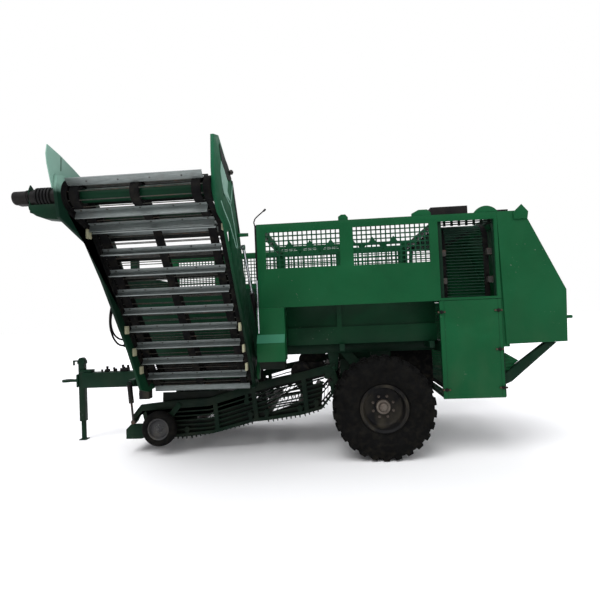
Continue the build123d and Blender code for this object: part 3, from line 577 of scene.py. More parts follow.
# Lug: its outline over the tread, as distance along the axle and along the tread
lug_outline = metres((12, -30), (70, -50), (150, -42), (218, -44), (218, 38), (150, 46), (70, 32), (12, 50))
rim_flange = metres((176, 252.5), (180, 272), (192, 282), (198, 280), (199, 272), (190, 262), (184, 246))
rim_section = rim_flange + metres(
    (150, 240), (90, 236), (62, 228), (50, 214), (44, 190), (44, 120), (50, 104), (50, 90), (30, 90), (30, 190),
    (26, 222), (4, 238), (-150, 246),
) + flipped(rim_flange)
hub_section = metres(
    (44, 88), (82, 86), (90, 80), (92, 62), (88, 54), (94, 50), (114, 46), (120, 38), (121, 0), (96, 0), (96, 42),
    (30, 42), (30, 88),
)


def make_tyre_lugs(centre, row, turn):
    """One side's row of lugs: each ends at the tyre's radius, drops at the shoulder and narrows to its top."""
    lug = face([(across, row * reach, 0) for reach, across in lug_outline])
    edit_all(lug)
    bpy.ops.mesh.extrude_region_move(TRANSFORM_OT_translate={"value": (0, 0, lug_lift)})
    bpy.ops.mesh.select_all(action="SELECT")
    bpy.ops.mesh.quads_convert_to_tris()
    leave_edit()
    for vertex in lug.data.vertices:
        across, reach, high = vertex.co
        shoulder = max(0.0, abs(reach) - shoulder_start)
        drop = middle_drop if abs(reach) < middle_half_width else 0.0
        top = wheel_radius - lug_clearance - shoulder_slope * shoulder - drop
        foot = tread_radius - lug_sunk - foot_slope * shoulder
        vertex.co = (across * lug_taper, reach, top) if high > lug_lift / 2 else (across, reach, foot)
    outward(lug)
    rounded(lug, lug_edge, 2, 40)
    lug.data.transform(Matrix.Translation((0, centre.y, centre.z)))
    return repeated(lug, [about(centre, 2 * pi * (i + turn) / lug_count) for i in range(lug_count)])


def make_tyre(side, side_name):
    centre = Vector((0, side * wheel_y, wheel_radius))
    carcass = turned(tyre_section, centre, 1, 104)
    rows = [make_tyre_lugs(centre, row, turn) for row, turn in ((1, 0.0), (-1, 0.5))]
    finished(joined([carcass, *rows]), f"tyre_{side_name}_tread", f"wheel_{side_name}", "tyre_rubber", smooth=40,
             node=f"tyre_{side_name}")


def make_rim(side, side_name):
    centre = Vector((0, side * wheel_y, wheel_radius))
    name, body = f"rim_{side_name}", f"wheel_{side_name}"
    finished(turned(rim_section, centre, side, 88), f"{name}_disc", body, "black_paint", smooth=40, node=name)
    finished(turned(hub_section, centre, side, 48), f"{name}_hub", body, "black_paint", hub_bronze, smooth=40)
    stud = joined([hex_bolt(0.0125, 0.020), bar((0, 0, 0.015), (0, 0, 0.040), 0.007, 10, 0.001)])
    places = bolt_circle(centre, side, disc_face, stud_circle, hub_studs, 0.5)
    finished(repeated(stud, places), f"{name}_studs", body, "black_paint", hub_bronze)
    foot, tip = (centre + Vector((reach, side * proud, reach)) for reach, proud in (valve_foot, valve_tip))
    finished(bar(foot, tip, valve_radius, 10, 0.001), f"{name}_valve", body, "black_paint", finishes["dark_steel"])


# Gauge wheels
gauge_x, gauge_y, gauge_z = 2.800, 0.900, 0.355
nut_face, nut_circle, nut_count = 0.024, 0.052, 5
gauge_cap_section = metres((34, 0), (34, 26), (44, 26), (54, 20), (58, 10), (58, 0))
gauge_flank = metres(
    (-46, 130), (-54, 142), (-60, 158), (-62, 176), (-58, 194), (-47, 209), (-36, 216), (-24, 218.5), (-22, 214.5),
    (-18, 214.5), (-16, 219.5),
)
gauge_tyre_section = gauge_flank + flipped(gauge_flank)
gauge_rim_section = metres(
    (-46, 129), (-52, 136), (-56, 132), (-50, 120), (-10, 112), (-10, 110), (12, 108), (16, 96), (16, 72), (24, 60),
    (24, 46), (36, 42), (40, 34), (40, 17.5), (34, 16.5), (34, 30), (18, 36), (10, 60), (6, 96), (12, 116),
    (50, 122), (56, 132), (52, 136), (46, 129), (0, 122),
)


def make_gauge_wheel(side, side_name):
    centre = Vector((gauge_x, side * gauge_y, gauge_z))
    body = f"gauge_{side_name}"
    finished(turned(gauge_tyre_section, centre, side, 72), f"gauge_tyre_{side_name}", body, "tyre_rubber", smooth=45,
             node=f"gauge_wheel_{side_name}")
    finished(turned(gauge_rim_section, centre, side, 64), f"gauge_rim_{side_name}", body, "wheel_grey", smooth=40)
    nuts = repeated(hex_bolt(0.008, 0.010), bolt_circle(centre, side, nut_face, nut_circle, nut_count, 1.25))
    finished(nuts, f"gauge_nuts_{side_name}", body, "wheel_grey", bolt_zinc)
    finished(turned(gauge_cap_section, centre, side, 32), f"gauge_cap_{side_name}", "digger", "green_paint",
             finishes["wheel_grey"])


# Rod webs: belts joined by round rods, round the same circles as in the CAD
belt_thickness, belt_width, rod_radius = 0.012, 0.060, 0.0055


def chain(circles):
    """Points along a belt round the circles, listed anticlockwise; a zero radius is a plain corner."""
    leaving = []
    for (a0, b0, r0), (a1, b1, r1) in zip(circles, circles[1:] + circles[:1]):
        reach = hypot(a1 - a0, b1 - b0)
        leaving.append(atan2(b1 - b0, a1 - a0) - pi / 2 + atan2(r0 - r1, (reach**2 - (r0 - r1) ** 2) ** 0.5))
    points = []
    for i, (a, b, r) in enumerate(circles):
        start = leaving[i - 1]
        turn = (leaving[i] - start) % (2 * pi)
        steps = max(2, round(turn / radians(9)))
        arc = [start + turn * k / steps for k in range(steps + 1)] if r else [start]
        points += [(a + r * cos(angle), b + r * sin(angle)) for angle in arc]
    return points


def along(points, pitch, phase=0.0):
    """Places spaced evenly round a closed line: a, b and the direction's angle."""
    runs = [(p, q, hypot(q[0] - p[0], q[1] - p[1])) for p, q in zip(points, points[1:] + points[:1])]
    length = sum(run[2] for run in runs)
    count = round(length / pitch)
    places, index, passed = [], 0, 0.0
    for k in range(count):
        target = length * (k + phase) / count
        while passed + runs[index][2] < target:
            passed += runs[index][2]
            index += 1
        (a0, b0), (a1, b1), run = runs[index]
        share = (target - passed) / run
        places.append((a0 + (a1 - a0) * share, b0 + (b1 - b0) * share, atan2(b1 - b0, a1 - a0)))
    return places


def on_sides(a, b, c):
    """A place in a web whose axle runs along Y."""
    return Vector((a, c, b))


def on_cross(a, b, c):
    """A place in a web whose axle runs along X."""
    return Vector((c, a, b))


def make_belts(points, placed, stations, width):
    belts = []
    for station in stations:
        band = face([placed(a, b, station - width / 2) for a, b in points], "NOTHING")
        edit_all(band)
        bpy.ops.mesh.extrude_region_move(TRANSFORM_OT_translate={"value": placed(0, 0, width)})
        leave_edit()
        belts.append(thickened(outward(band), belt_thickness))
    return joined(belts)


def make_web(node, placed, circles, half, stations, pitch, middle=0.0, rod_finish=None, width=belt_width,
             rod_size=rod_radius):
    """A web in the place of its CAD node: belts at the stations, and rods of this half length between them."""
    points = chain(circles)
    belts = make_belts(points, placed, [middle + station for station in stations], width)
    body = node_body[node]
    finished(belts, f"{node}_belts", body, "belt_rubber", node=node)
    rod = bar(placed(0, 0, middle - half), placed(0, 0, middle + half), rod_size, 10, 0.001)
    places = [Matrix.Translation(placed(a, b, 0)) for a, b, _ in along(points, pitch)]
    finished(repeated(rod, places), f"{node}_rods", body, "belt_rubber", rod_finish or web_rod_steel)


digging_circles = metres((2920, 335, 90), (1690, 640, 66), (1650, 478, 66), (2480, 308, 66))
second_circles = metres((1440, 500, 70), (650, 935, 60), (592, 832, 60), (800, 605, 60), (1010, 540, 60))
main_circles = metres((420, 900, 65), (-600, 900, 65))
picking_circles = metres((1290, 2130, 80), (-590, 2130, 80))
bay_circles = metres((3270, 2000, 55), (1510, 2000, 55))
digging_half, digging_belts, digging_pitch = 0.712, (-0.660, 0, 0.660), 0.038
ring_half, ring_belts, ring_pitch = 0.280, (-0.250, 0.250), 0.036
ring_corner, ring_middle = 0.220, -1.045
# Webs inside the body: the circles, the middle, the rods' half length and the outer belts' distance from the middle
web_pitch = 0.052
body_webs = (
    ("main_web", main_circles, 0.0, 0.665, 0.620),
    ("picking_table", picking_circles, 0.0, 0.900, 0.870),
    ("front_web", bay_circles, -0.335, 0.800, 0.770),
)
ring_circles = [(y, z, ring_corner) for y, z in metres((830, 2510), (-830, 2510), (-830, 980), (830, 980))]
tail, knee, head = (0.990, 1.020), (2.262, 2.722), (2.686, 2.864)
elevator_runs = ((Vector(tail), Vector(knee)), (Vector(knee), Vector(head)))
strand_radius = 0.100
elevator_middle, elevator_half = 2.207, 0.600
belt_stations, elevator_belt_width, elevator_rod = (-0.540, 0, 0.540), 0.080, 0.0045
elevator_tube, head_tube = 0.045, 0.062
wall_rear_inside, wall_front_inside = 1.545, 2.830
flight_pitch, flight_height, flight_phase = 0.240, 0.075, 0.90
flight_stagger, head_flight_turn = 0.200, radians(22)


def elevator_circles():
    """The three shafts, and the corner above the knee where the upper runs meet."""
    first = Vector((tail[0] - knee[0], tail[1] - knee[1])).normalized()
    second = Vector((head[0] - knee[0], head[1] - knee[1])).normalized()
    half_angle = first.angle(second) / 2
    corner = Vector(knee) + (first + second).normalized() * (strand_radius / sin(half_angle))
    return [(*tail, strand_radius), (*knee, strand_radius), (*head, strand_radius), (corner.x, corner.y, 0.0)]


def make_webs():
    for node, circles, pitch, radius in (("digging_web", digging_circles, digging_pitch, 0.0075),
                                         ("second_web", second_circles, 2 * digging_pitch, 0.005)):
        make_web(node, on_sides, circles, digging_half, digging_belts, pitch, rod_finish=shaded_steel,
                 rod_size=radius)
    for node, circles, middle, half, belt in body_webs:
        make_web(node, on_sides, circles, half, (-belt, 0, belt), web_pitch, middle)
    make_web("ring_elevator", on_cross, ring_circles, ring_half, ring_belts, ring_pitch, ring_middle,
             rod_finish=green_rod)
    make_web("elevator_web", on_cross, elevator_circles(), elevator_half, belt_stations, flight_pitch / 3,
             elevator_middle, width=elevator_belt_width, rod_size=elevator_rod)


# Elevator flights: an angle bar across the web, with its bolts and rivets along it, and what the carrying ones are
# set back and where they may start
flight_gauge, flight_foot, web_gap = 0.004, 0.038, 0.0008
first_reach, least_reach = 0.035, 0.02
flight_bolts, flight_rivets = (-0.54, -0.30, 0, 0.30, 0.54), (-0.42, -0.14, 0.14, 0.42)


def stood(place, angle):
    """A flight's turn and place on a strand that runs at this angle."""
    return Matrix.Translation((0, *place)) @ Matrix.Rotation(angle + pi, 4, "X")


def flight_places():
    """The returning strand's flights, and the carrying strand's, which are set back by the stagger."""
    returning, carrying = [], []
    lengths = [(end - start).length for start, end in elevator_runs]
    for y, z, angle in along(chain(elevator_circles()), flight_pitch, flight_phase):
        if cos(angle) < -0.5:
            continue
        turn = stood((y, z), angle)
        if y > head[0] and z > head[1]:
            turn = about((0, *head), head_flight_turn, "X") @ turn
        returning.append(turn)
        for (start, end), passed in zip(elevator_runs, (0.0, lengths[0])):
            line = end - start
            if abs(angle - atan2(line.y, line.x)) < 0.01:
                reach = passed + (Vector((y, z)) - start).dot(line.normalized())
                carrying.append(reach - flight_stagger)
    while carrying[-1] + flight_pitch < sum(lengths):
        carrying.append(carrying[-1] + flight_pitch)
    behind = []
    for reach in carrying:
        past_knee = reach >= lengths[0]
        start, end = elevator_runs[past_knee]
        reach -= lengths[0] * past_knee
        aim = (end - start).normalized()
        if past_knee or reach > least_reach:
            place = start + aim * max(reach, first_reach) + Vector((-aim.y, aim.x)) * strand_radius
            behind.append(stood(place, atan2(aim.y, aim.x) + pi))
    return returning, behind


def make_flights():
    base = belt_thickness / 2 + web_gap
    top = base + flight_height - 0.001
    section = (
        (flight_gauge, top), (flight_gauge, base), (-flight_foot, base), (-flight_foot, base + flight_gauge),
        (-0.001, base + flight_gauge), (-0.003, base + 0.008), (-0.003, top - 0.008), (-0.010, top - 0.001),
        (-0.008, top),
    )
    low, high = elevator_middle - elevator_half, elevator_middle + elevator_half
    flight = cross_panel(section, low, high - low, 0.0008)
    bolts = repeated(hex_bolt(0.007, 0.008), [
        Matrix.Translation((elevator_middle + x, -0.022, base + flight_gauge)) for x in flight_bolts
    ])
    rivets = repeated(hex_bolt(0.006, 0.005), [
        facing((elevator_middle + x, flight_gauge, base + 0.036), (0, 1, 0)) for x in flight_rivets
    ])
    returning, behind = flight_places()
    finished(repeated(copied(flight), returning), "elevator_flight_bars", "elevator", "flight_steel",
             node="elevator_flights")
    # The carrying flights, seen behind the web, are painted dark steel for painted shade.
    finished(repeated(flight, behind), "elevator_shaded_flights", "elevator", "flight_steel", shaded_steel)
    finished(repeated(joined([bolts, rivets]), returning), "elevator_flight_bolts", "elevator", "flight_steel",
             bolt_zinc)


# Toothed wheels of the elevator's shafts, a pair under each belt
sprocket_teeth, sprocket_width, tooth_tip, tooth_foot = 14, 0.022, 0.092, 0.080
sprocket_offsets, shaft_gap = (-0.032, 0.010), 0.0005


def make_elevator_shafts():
    tubes, wheels = [], []
    rear, front = wall_rear_inside + shaft_gap, wall_front_inside - shaft_gap
    for (y, z), tube_radius in ((tail, elevator_tube), (knee, elevator_tube), (head, head_tube)):
        tubes.append(bar((rear, y, z), (front, y, z), tube_radius, 32, 0.002))
        outline = []
        for k in range(sprocket_teeth * 4):
            radius = tooth_tip if k % 4 in (1, 2) else tooth_foot
            angle = 2 * pi * k / (sprocket_teeth * 4)
            outline.append((y + radius * cos(angle), z + radius * sin(angle)))
        wheels += [cross_panel(outline, elevator_middle + station + offset, sprocket_width, 0.001)
                   for station in belt_stations for offset in sprocket_offsets]
    # The tubes take the bay's painted shade.
    finished(joined(tubes), "elevator_tubes", "elevator", "green_paint", bay_shade_paint, node="elevator_rollers")
    finished(joined(wheels), "elevator_sprockets", "elevator", "green_paint", finishes["black_paint"])


# Rubber skirts: strips along the return run beside the flights' ends, as x from and to and their distance from the
# shafts' line; and drums round the head, as radius, number of sides and how far they stay back
skirt_depths = ((1.548, 1.605, 0.104, 0.112), (2.809, 2.829, 0.104, 0.112), (2.8262, 2.8295, -0.050, 0.165))
drum_reaches, drums = ((1.5465, 1.604), (2.810, 2.829)), ((0.112, 14, 0.0), (0.098, 32, 0.004))
head_disc = (2.8262, 2.8295, 0.150)


def offset_line(distance):
    """The shafts' line, moved below itself by the distance."""
    points = []
    for start, end in elevator_runs:
        aim = (end - start).normalized()
        points += [tuple(place + Vector((aim.y, -aim.x)) * distance) for place in (start, end)]
    return points


def make_skirts():
    strips = []
    for x0, x1, near, far in skirt_depths:
        strips.append(cross_panel(offset_line(far) + offset_line(near)[::-1], x0, x1 - x0, 0.0008))
    for x0, x1 in drum_reaches:
        strips += [bar((x0, *head), (x1 - back, *head), radius, count, 0.004) for radius, count, back in drums]
    x0, x1, radius = head_disc
    strips.append(bar((x0, *head), (x1, *head), radius, 48))
    finished(joined(strips), "return_skirts", "elevator", "belt_rubber")


# Guide blocks of the return run: x from and to on each side frame, and their places in y and z
guide_half_y, guide_half_z = 0.038, 0.045
guide_spots = (
    (2.806, 2.829, metres((2428, 2576), (1694, 1638), (1518, 1380), (1345, 1153))),
    (1.546, 1.569, metres((2300, 2612), (1691, 1627), (1532, 1381), (1399, 1158))),
)


def make_guide_blocks():
    blocks = [block((x0, y - guide_half_y, z - guide_half_z), (x1, y + guide_half_y, z + guide_half_z), 0.006)
              for x0, x1, spots in guide_spots for y, z in spots]
    finished(joined(blocks), "return_guide_blocks", "elevator", "dark_steel", guide_cream)


# Window mesh: a punched sheet with square holes behind each opening
side_y, sheet = 1.220, 0.030
windows = metres((430, 1310, 2285, 2717), (-610, 270, 2280, 2730))
bay_windows = metres((1470, 2350, 2285, 2717), (2560, 3190, 2285, 2717))
hole_pitch, mesh_bar, mesh_thickness, mesh_lap, mesh_gap = 0.055, 0.015, 0.006, 0.012, 0.0004


def punched_sheet(x0, x1, z0, z1, y):
    columns, rows = round((x1 - x0) / hole_pitch), round((z1 - z0) / hole_pitch)
    bpy.ops.object.select_all(action="DESELECT")
    bpy.ops.mesh.primitive_grid_add(x_subdivisions=columns, y_subdivisions=rows, size=1)
    piece = bpy.context.object
    piece.scale = (x1 - x0, z1 - z0, 1)
    piece.rotation_euler = (pi / 2, 0, 0)
    piece.location = ((x0 + x1) / 2, y, (z0 + z1) / 2)
    settled(piece)
    edit_all(piece)
    bpy.ops.mesh.inset(thickness=mesh_bar / 2, use_individual=True)
    bpy.ops.mesh.delete(type="FACE")
    leave_edit()
    return thickened(piece, mesh_thickness)


def make_window_mesh():
    sheets = []
    for side, openings in ((1, windows), (-1, windows + bay_windows)):
        y = side * (side_y - sheet - mesh_gap - mesh_thickness / 2)
        for x0, x1, z0, z1 in openings:
            sheets.append(punched_sheet(x0 - mesh_lap, x1 + mesh_lap, z0 - mesh_lap, z1 + mesh_lap, y))
    finished(joined(sheets), "punched_window_sheets", "root", "green_paint", mesh_paint, node="window_mesh")


# Doors: wing fasteners on a strap between two bolts, and the seams along the folded edges
door_fasteners = metres((-705, 1688), (-1346, 1685), (-1339, 1239), (-723, 791), (-1361, 800))
door_skin = side_y + 0.0003
seam_places, seam_low, seam_high, seam_half, seam_depth = (-1.344, -0.737), 0.693, 1.811, 0.0012, 0.001


def make_door_trim():
    for side_name, side in both_sides:
        spots = [facing((x, side * door_skin, z), (0, side, 0)) for x, z in door_fasteners]
        wing = joined([
            block((-0.046, -0.010, 0), (0.046, 0.010, 0.004), 0.0015),
            bar((0, 0, 0.002), (0, 0, 0.010), 0.021, 20, 0.002),
            rounded(bar((0, 0, 0.008), (0, 0, 0.026), 0.012, 6), 0.0015),
        ])
        finished(repeated(wing, spots), f"door_fasteners_{side_name}", "root", "green_paint", finishes["black_paint"])
        dots = repeated(hex_bolt(0.009, 0.012), [Matrix.Translation((x, 0, 0.003)) for x in (-0.034, 0.034)])
        finished(repeated(dots, spots), f"door_bolts_{side_name}", "root", "green_paint", rusty_bolt)
        seams = [block((x - seam_half, side * door_skin, seam_low),
                       (x + seam_half, side * (door_skin + seam_depth), seam_high), 0.0003, 1) for x in seam_places]
        finished(joined(seams), f"door_seams_{side_name}", "root", "green_paint", finishes["dark_green_paint"])


# Share: a worn blade between two painted cheeks
share_reach, cheek = 0.7697, 0.020
cheek_outline = metres((3303, 196), (3303, 316), (3230, 390), (2960, 390), (2960, 230), (3100, 196))
blade_outline = metres((3303, 196), (3303, 202), (3292, 212), (3050, 338), (3040, 326))


def make_share():
    inside = share_reach - cheek
    finished(panel(blade_outline, -inside, 2 * inside, 0.001), "share_blade", "digger", "dark_steel", node="share")
    for side_name, side in both_sides:
        finished(panel(cheek_outline, side * inside, side * cheek, 0.003), f"share_cheek_{side_name}", "digger",
                 "dark_steel", finishes["dark_green_paint"])


# Rear side frame, as lines and outlines of y and z: its folds in painted light, the pale panel as a painted reflection
# of the sky, and the rim in painted shade
fold_lines = (
    metres((2534, 2791), (2436, 2735), (2211, 2645), (1934, 2450)),
    metres((2409, 2902), (2139, 2840), (1989, 2659), (1864, 2451)),
    metres((2135, 2860), (2071, 2972), (2014, 3090)),
)
pale_panel = metres(
    (2483, 3175), (2374, 3130), (2225, 3054), (2263, 2951), (2132, 2880), (2409, 2902), (2472, 2975), (2510, 3069),
)
shaded_rims = (
    metres(
        (2517, 3319), (2190, 3217), (2057, 3131), (2138, 3079), (2222, 3075), (2406, 3148), (2475, 3205),
        (2517, 3268),
    ),
    metres((2057, 3108), (2003, 3124), (1713, 2639), (1779, 2628)),
)
fold_x, fold_depth, panel_x, panel_depth, rim_x, rim_depth = 1.5100, 0.0048, 1.5110, 0.0038, 1.5112, 0.0036
fold_half_width = 0.006
knob_place, stay_outline = (2.112, 3.180), metres((1840, 2575), (1840, 2615), (1330, 2705), (1330, 2665))


def make_folds():
    folds = []
    for line in fold_lines:
        for (y0, z0), (y1, z1) in zip(line, line[1:]):
            aim = Vector((y1 - y0, z1 - z0)).normalized()
            dy, dz = Vector((-aim.y, aim.x)) * fold_half_width
            corners = ((y0 + dy, z0 + dz), (y1 + dy, z1 + dz), (y1 - dy, z1 - dz), (y0 - dy, z0 - dz))
            folds.append(cross_panel(corners, fold_x, fold_depth))
    folds.append(cross_panel(pale_panel, panel_x, panel_depth))
    finished(joined(folds), "rear_wall_folds", "elevator", "pale_green_paint")
    rims = [cross_panel(rim, rim_x, rim_depth) for rim in shaded_rims]
    finished(joined(rims), "rear_wall_rims", "elevator", "dark_green_paint", inner_shade_paint)
    knob = joined([bar((1.488, *knob_place), (1.514, *knob_place), 0.024, 20, 0.004),
                   bar((1.480, *knob_place), (1.490, *knob_place), 0.014, 6, 0.002)])
    finished(knob, "rear_wall_knob", "elevator", "dark_steel")
    finished(cross_panel(stay_outline, 1.490, 0.022, 0.002), "rear_wall_stay", "elevator", "green_paint")


# Head: the fin with its fold, and the drive with its end plate and pan
fin_outline = metres(
    (2955, 3243), (2774, 3208), (2563, 3147), (2452, 3110), (2560, 2960), (2880, 2900), (2901, 2887), (2931, 2980),
    (2962, 3079), (2973, 3159),
)
pan_outline = metres(
    (2861.5, 2800), (2861.5, 2655), (2946, 2661), (3057, 2676), (3120, 2700), (3158, 2727), (3186, 2760),
    (3194, 2800),
)
end_plate = metres((2625, 2735), (2720, 2735), (2742, 2925), (2712, 2985), (2640, 2930))
fin_fold = metres((2764, 3195), (2772, 3195), (2780, 3070), (2772, 3070))
fin_x, fin_depth, plate_x, plate_depth, pan_y, pan_depth = 2.8604, 0.010, 3.178, 0.012, 2.610, 0.130
drive_raise, rib_start, rib_count, rib_pitch, rib_width, rib_radius = 0.010, 2.985, 5, 0.030, 0.018, 0.086


def make_head():
    fin = cross_panel(fin_outline, fin_x, fin_depth, 0.002)
    finished(fin, "head_fin_sheet", "elevator", "pale_green_paint", node="head_fin")
    finished(cross_panel(fin_fold, 2.8580, 0.0025, 0.0006), "head_fin_fold", "elevator", "pale_green_paint",
             finishes["dark_green_paint"])
    y, z = head[0], head[1] + drive_raise
    ribs = []
    for k in range(rib_count):
        x = rib_start + rib_pitch * k
        ribs.append(bar((x, y, z), (x + rib_width, y, z), rib_radius, 32, 0.003))
    drive = joined([
        bar((2.862, y, z), (3.176, y, z), 0.070, 32, 0.004), *ribs,
        bar((3.190, y, z + 0.006), (3.345, y, z + 0.006), 0.060, 32, 0.006),
        block((3.200, y - 0.045, z - 0.060), (3.318, y + 0.045, z + 0.020), 0.006),
        bar((3.205, y, z + 0.006), (3.222, y, z + 0.006), 0.066, 32, 0.002),
    ])
    finished(drive, "head_drive", "elevator", "black_paint", node="head_motor")
    pan = panel(pan_outline, pan_y, pan_depth, 0.004)
    plate = cross_panel(end_plate, plate_x, plate_depth, 0.002)
    finished(joined([pan, plate]), "head_drive_pan", "elevator", "green_paint", finishes["dark_green_paint"],
             node="motor_bracket")


# Front post of the body: black edging, a pale pipe below it and the lever on top
lever_line = metres((1430, 2800), (1442, 2850), (1425, 2895), (1385, 2930), (1345, 2962), (1315, 2985))
pipe_x, pipe_y, pipe_low, pipe_high, pipe_radius = 1.4275, 1.234, 1.525, 2.150, 0.0095
clip_lows, clip_height, clip_half, post_face = (1.540, 2.085), 0.018, 0.0095, 1.2205
lever_y, lever_radius, knob_x, knob_z, knob_radius = 1.206, 0.0075, (1.322, 1.292), (2.979, 3.004), 0.012
edging = ((1.4165, 1.190, 2.110), (1.4370, 1.222, 2.815))


def make_front_post():
    finished(block(*edging, 0.006), "front_post_edging", "root", "cylinder_black")
    clips = [block((pipe_x - clip_half, post_face, z), (pipe_x + clip_half, pipe_y + 0.002, z + clip_height), 0.002)
             for z in clip_lows]
    pipe = joined([bar((pipe_x, pipe_y, pipe_low), (pipe_x, pipe_y, pipe_high), pipe_radius, 20, 0.002), *clips])
    finished(pipe, "front_post_pipe", "root", "rod_chrome")
    runs = [bar((x0, lever_y, z0), (x1, lever_y, z1), lever_radius, 12, 0.001)
            for (x0, z0), (x1, z1) in zip(lever_line, lever_line[1:])]
    start, end = ((x, lever_y, z) for x, z in zip(knob_x, knob_z))
    runs.append(bar(start, end, knob_radius, 16, 0.004))
    finished(joined(runs), "front_post_lever", "root", "cylinder_black")


# Black rubber sheets in painted shade below the body: one under the bay's wall and one between each wheel and its
# door, by their corners
bay_shade_corners = ((1.500, 0.529, 0.805), (2.900, 0.541, 1.1995))
wheel_shade_corners = ((-0.680, 0.722, 0.760), (-0.165, 0.728, 1.218))


def make_shade_sheets():
    finished(block(*bay_shade_corners, 0.002), "bay_shade_sheet", "root", "belt_rubber")
    for side_name, side in both_sides:
        low, high = ((x, side * y, z) for x, y, z in wheel_shade_corners)
        finished(block(low, high, 0.002), f"wheel_shade_sheet_{side_name}", "root", "belt_rubber")


# Drawbar: couplings on its top, as x, y and height, the front plate and the black box by the elevator's foot
drawbar_top = 0.9904
couplings = metres((3620, -30, 88), (3655, 28, 70), (3690, -12, 96), (3780, 20, 45), (3830, -20, 60), (3925, 0, 82),
                   (3990, 30, 40))
# The blocks' x from and to, half width and edge; a coupling's steps as shares of its height, with radius and sides
coupling_blocks = ((3.60, 3.71, 0.050, 0.005), (3.90, 3.95, 0.040, 0.003))
coupling_steps = ((0.0, 0.7, 0.014, 16), (0.6, 1.0, 0.018, 6))
front_plate = ((4.150, -0.060, drawbar_top), (4.330, 0.060, drawbar_top + 0.042))
foot_box, box_cap, cap_radius = ((2.868, 0.920, 0.752), (3.000, 1.030, 0.866)), (0.975, 0.807), 0.030


def make_drawbar_fittings():
    pieces = [block((x0, -half, drawbar_top), (x1, half, drawbar_top + half), edge)
              for x0, x1, half, edge in coupling_blocks]
    for x, y, high in couplings:
        for low, top, radius, count in coupling_steps:
            start, end = ((x, y, drawbar_top + high * share) for share in (low, top))
            pieces.append(bar(start, end, radius, count, 0.002))
    finished(joined(pieces), "drawbar_couplings", "root", "black_paint")
    finished(block(*front_plate, 0.006), "drawbar_front_plate", "root", "dark_green_paint")
    box_front = foot_box[1][0]
    cap = bar((box_front, *box_cap), (box_front + 0.012, *box_cap), cap_radius, 24, 0.002)
    box = joined([block(*foot_box, 0.006), cap])
    finished(box, "foot_bearing_box", "root", "black_paint")


# Web lugs: rubber fingers that stand out below both webs of the digging unit, beside their belts
lug_rows, lug_length, lug_width, lug_pitch, lugs_end = (0.700, -0.725), 0.074, 0.025, 0.058, 2.80


def make_web_lugs():
    outline = ((-0.013, 0.004), (0.013, 0.004), (0.004, lug_length), (-0.006, lug_length))
    fingers = [panel(outline, y, lug_width, 0.003) for y in lug_rows]
    places = [Matrix.Translation((x, 0, z)) @ Matrix.Rotation(pi - angle, 4, "Y")
              for circles in (digging_circles, second_circles) for x, z, angle in along(chain(circles), lug_pitch)
              if cos(angle) > 0.3 and x < lugs_end]
    finished(repeated(joined(fingers), places), "digging_web_lugs", "digger", "belt_rubber")


# Digging unit: dark sheets of painted shade inside its side frames, open where the photograph looks through, and slats
# over them
band_line = metres((545, 1095), (942, 1001), (1315, 935), (1692, 835), (2179, 701), (2645, 682), (3079, 642))
guide_line = metres(
    (494, 816), (733, 520), (1000, 455), (1400, 402), (1606, 385), (2129, 252), (2550, 215), (3010, 215),
)
sheet_openings = (
    metres((2373, 597), (2188, 623), (2093, 440), (2348, 401)),
    metres((1987, 679), (1844, 682), (1838, 621), (1990, 601)),
    metres((1717, 709), (1520, 752), (1475, 649), (1705, 625)),
    metres((1463, 763), (1062, 846), (931, 633), (1412, 485)),
    metres((875, 878), (690, 920), (690, 876), (846, 800)),
)
# Slats: the row below the band, and x from and to
frame_slats = (*((row, 0.690, 0.950) for row in (1, 2, 3)), *((row, 2.110, 2.960) for row in (1, 2, 3)),
               (4, 0.700, 2.960), (5, 0.730, 2.960), (6, 0.800, 2.900), (7, 0.860, 2.700))
drive_place, drive_radius = (0.985, 0.990), 0.128
lid_outline = metres((680, 1040), (900, 960), (900, 1100), (680, 1108))
slat_pitch, slat_height, slat_y, slat_depth = 0.057, 0.017, 0.772, 0.024
rows_top, guide_depth, inner_sheet_y, inner_sheet_depth = 0.084, 0.042, 0.741, 0.004


def height_on(line, x):
    for (x0, z0), (x1, z1) in zip(line, line[1:]):
        if x0 <= x <= x1:
            return z0 + (z1 - z0) * (x - x0) / (x1 - x0)
    raise ValueError(x)


def frame_slat(side, row, start, end):
    """One slat below the band, as long as it stays above the guide; nothing where it doesn't."""
    line = []
    for x in [start] + [x for x, _ in band_line if start < x < end] + [end]:
        z = height_on(band_line, x) - rows_top - row * slat_pitch
        if z - slat_height > height_on(guide_line, x) + guide_depth:
            line.append((x, z))
    if len(line) < 2:
        return []
    return [panel(line + [(x, z - slat_height) for x, z in line[::-1]], side * slat_y, side * slat_depth, 0.002)]


def make_digger_sheets():
    upper = [(x, height_on(band_line, x) - 0.050) for x in (0.690, 0.942, 1.315, 1.692, 1.870)]
    upper += metres((1880, 785), (2800, 785), (2810, 600), (2960, 590))
    lower = [(x, height_on(guide_line, x) + 0.010) for x in (2.960, 2.550, 2.129, 1.606, 1.400, 1.000, 0.800, 0.740)]
    cutter = joined([panel(opening, inner_sheet_y - 0.011, 0.030) for opening in sheet_openings])
    sheet = cut_by(panel(upper + lower, inner_sheet_y, inner_sheet_depth), cutter)
    finished(rounded(sheet, 0.0008, 1), "digger_inner_sheet", "digger", "dark_green_paint", inner_shade_paint)
    for side_name, side in both_sides:
        slats = [slat for row, start, end in frame_slats for slat in frame_slat(side, row, start, end)]
        finished(joined(slats), f"digger_slats_{side_name}", "digger", "dark_green_paint", digger_shade_paint)
        x, z = drive_place
        cover = bar((x, side * 0.655, z), (x, side * 0.764, z), drive_radius, 48, 0.012)
        lid = panel(lid_outline, side * 0.660, side * 0.040, 0.004)
        finished(joined([cover, lid]), f"digger_drive_cover_{side_name}", "digger", "belt_rubber")
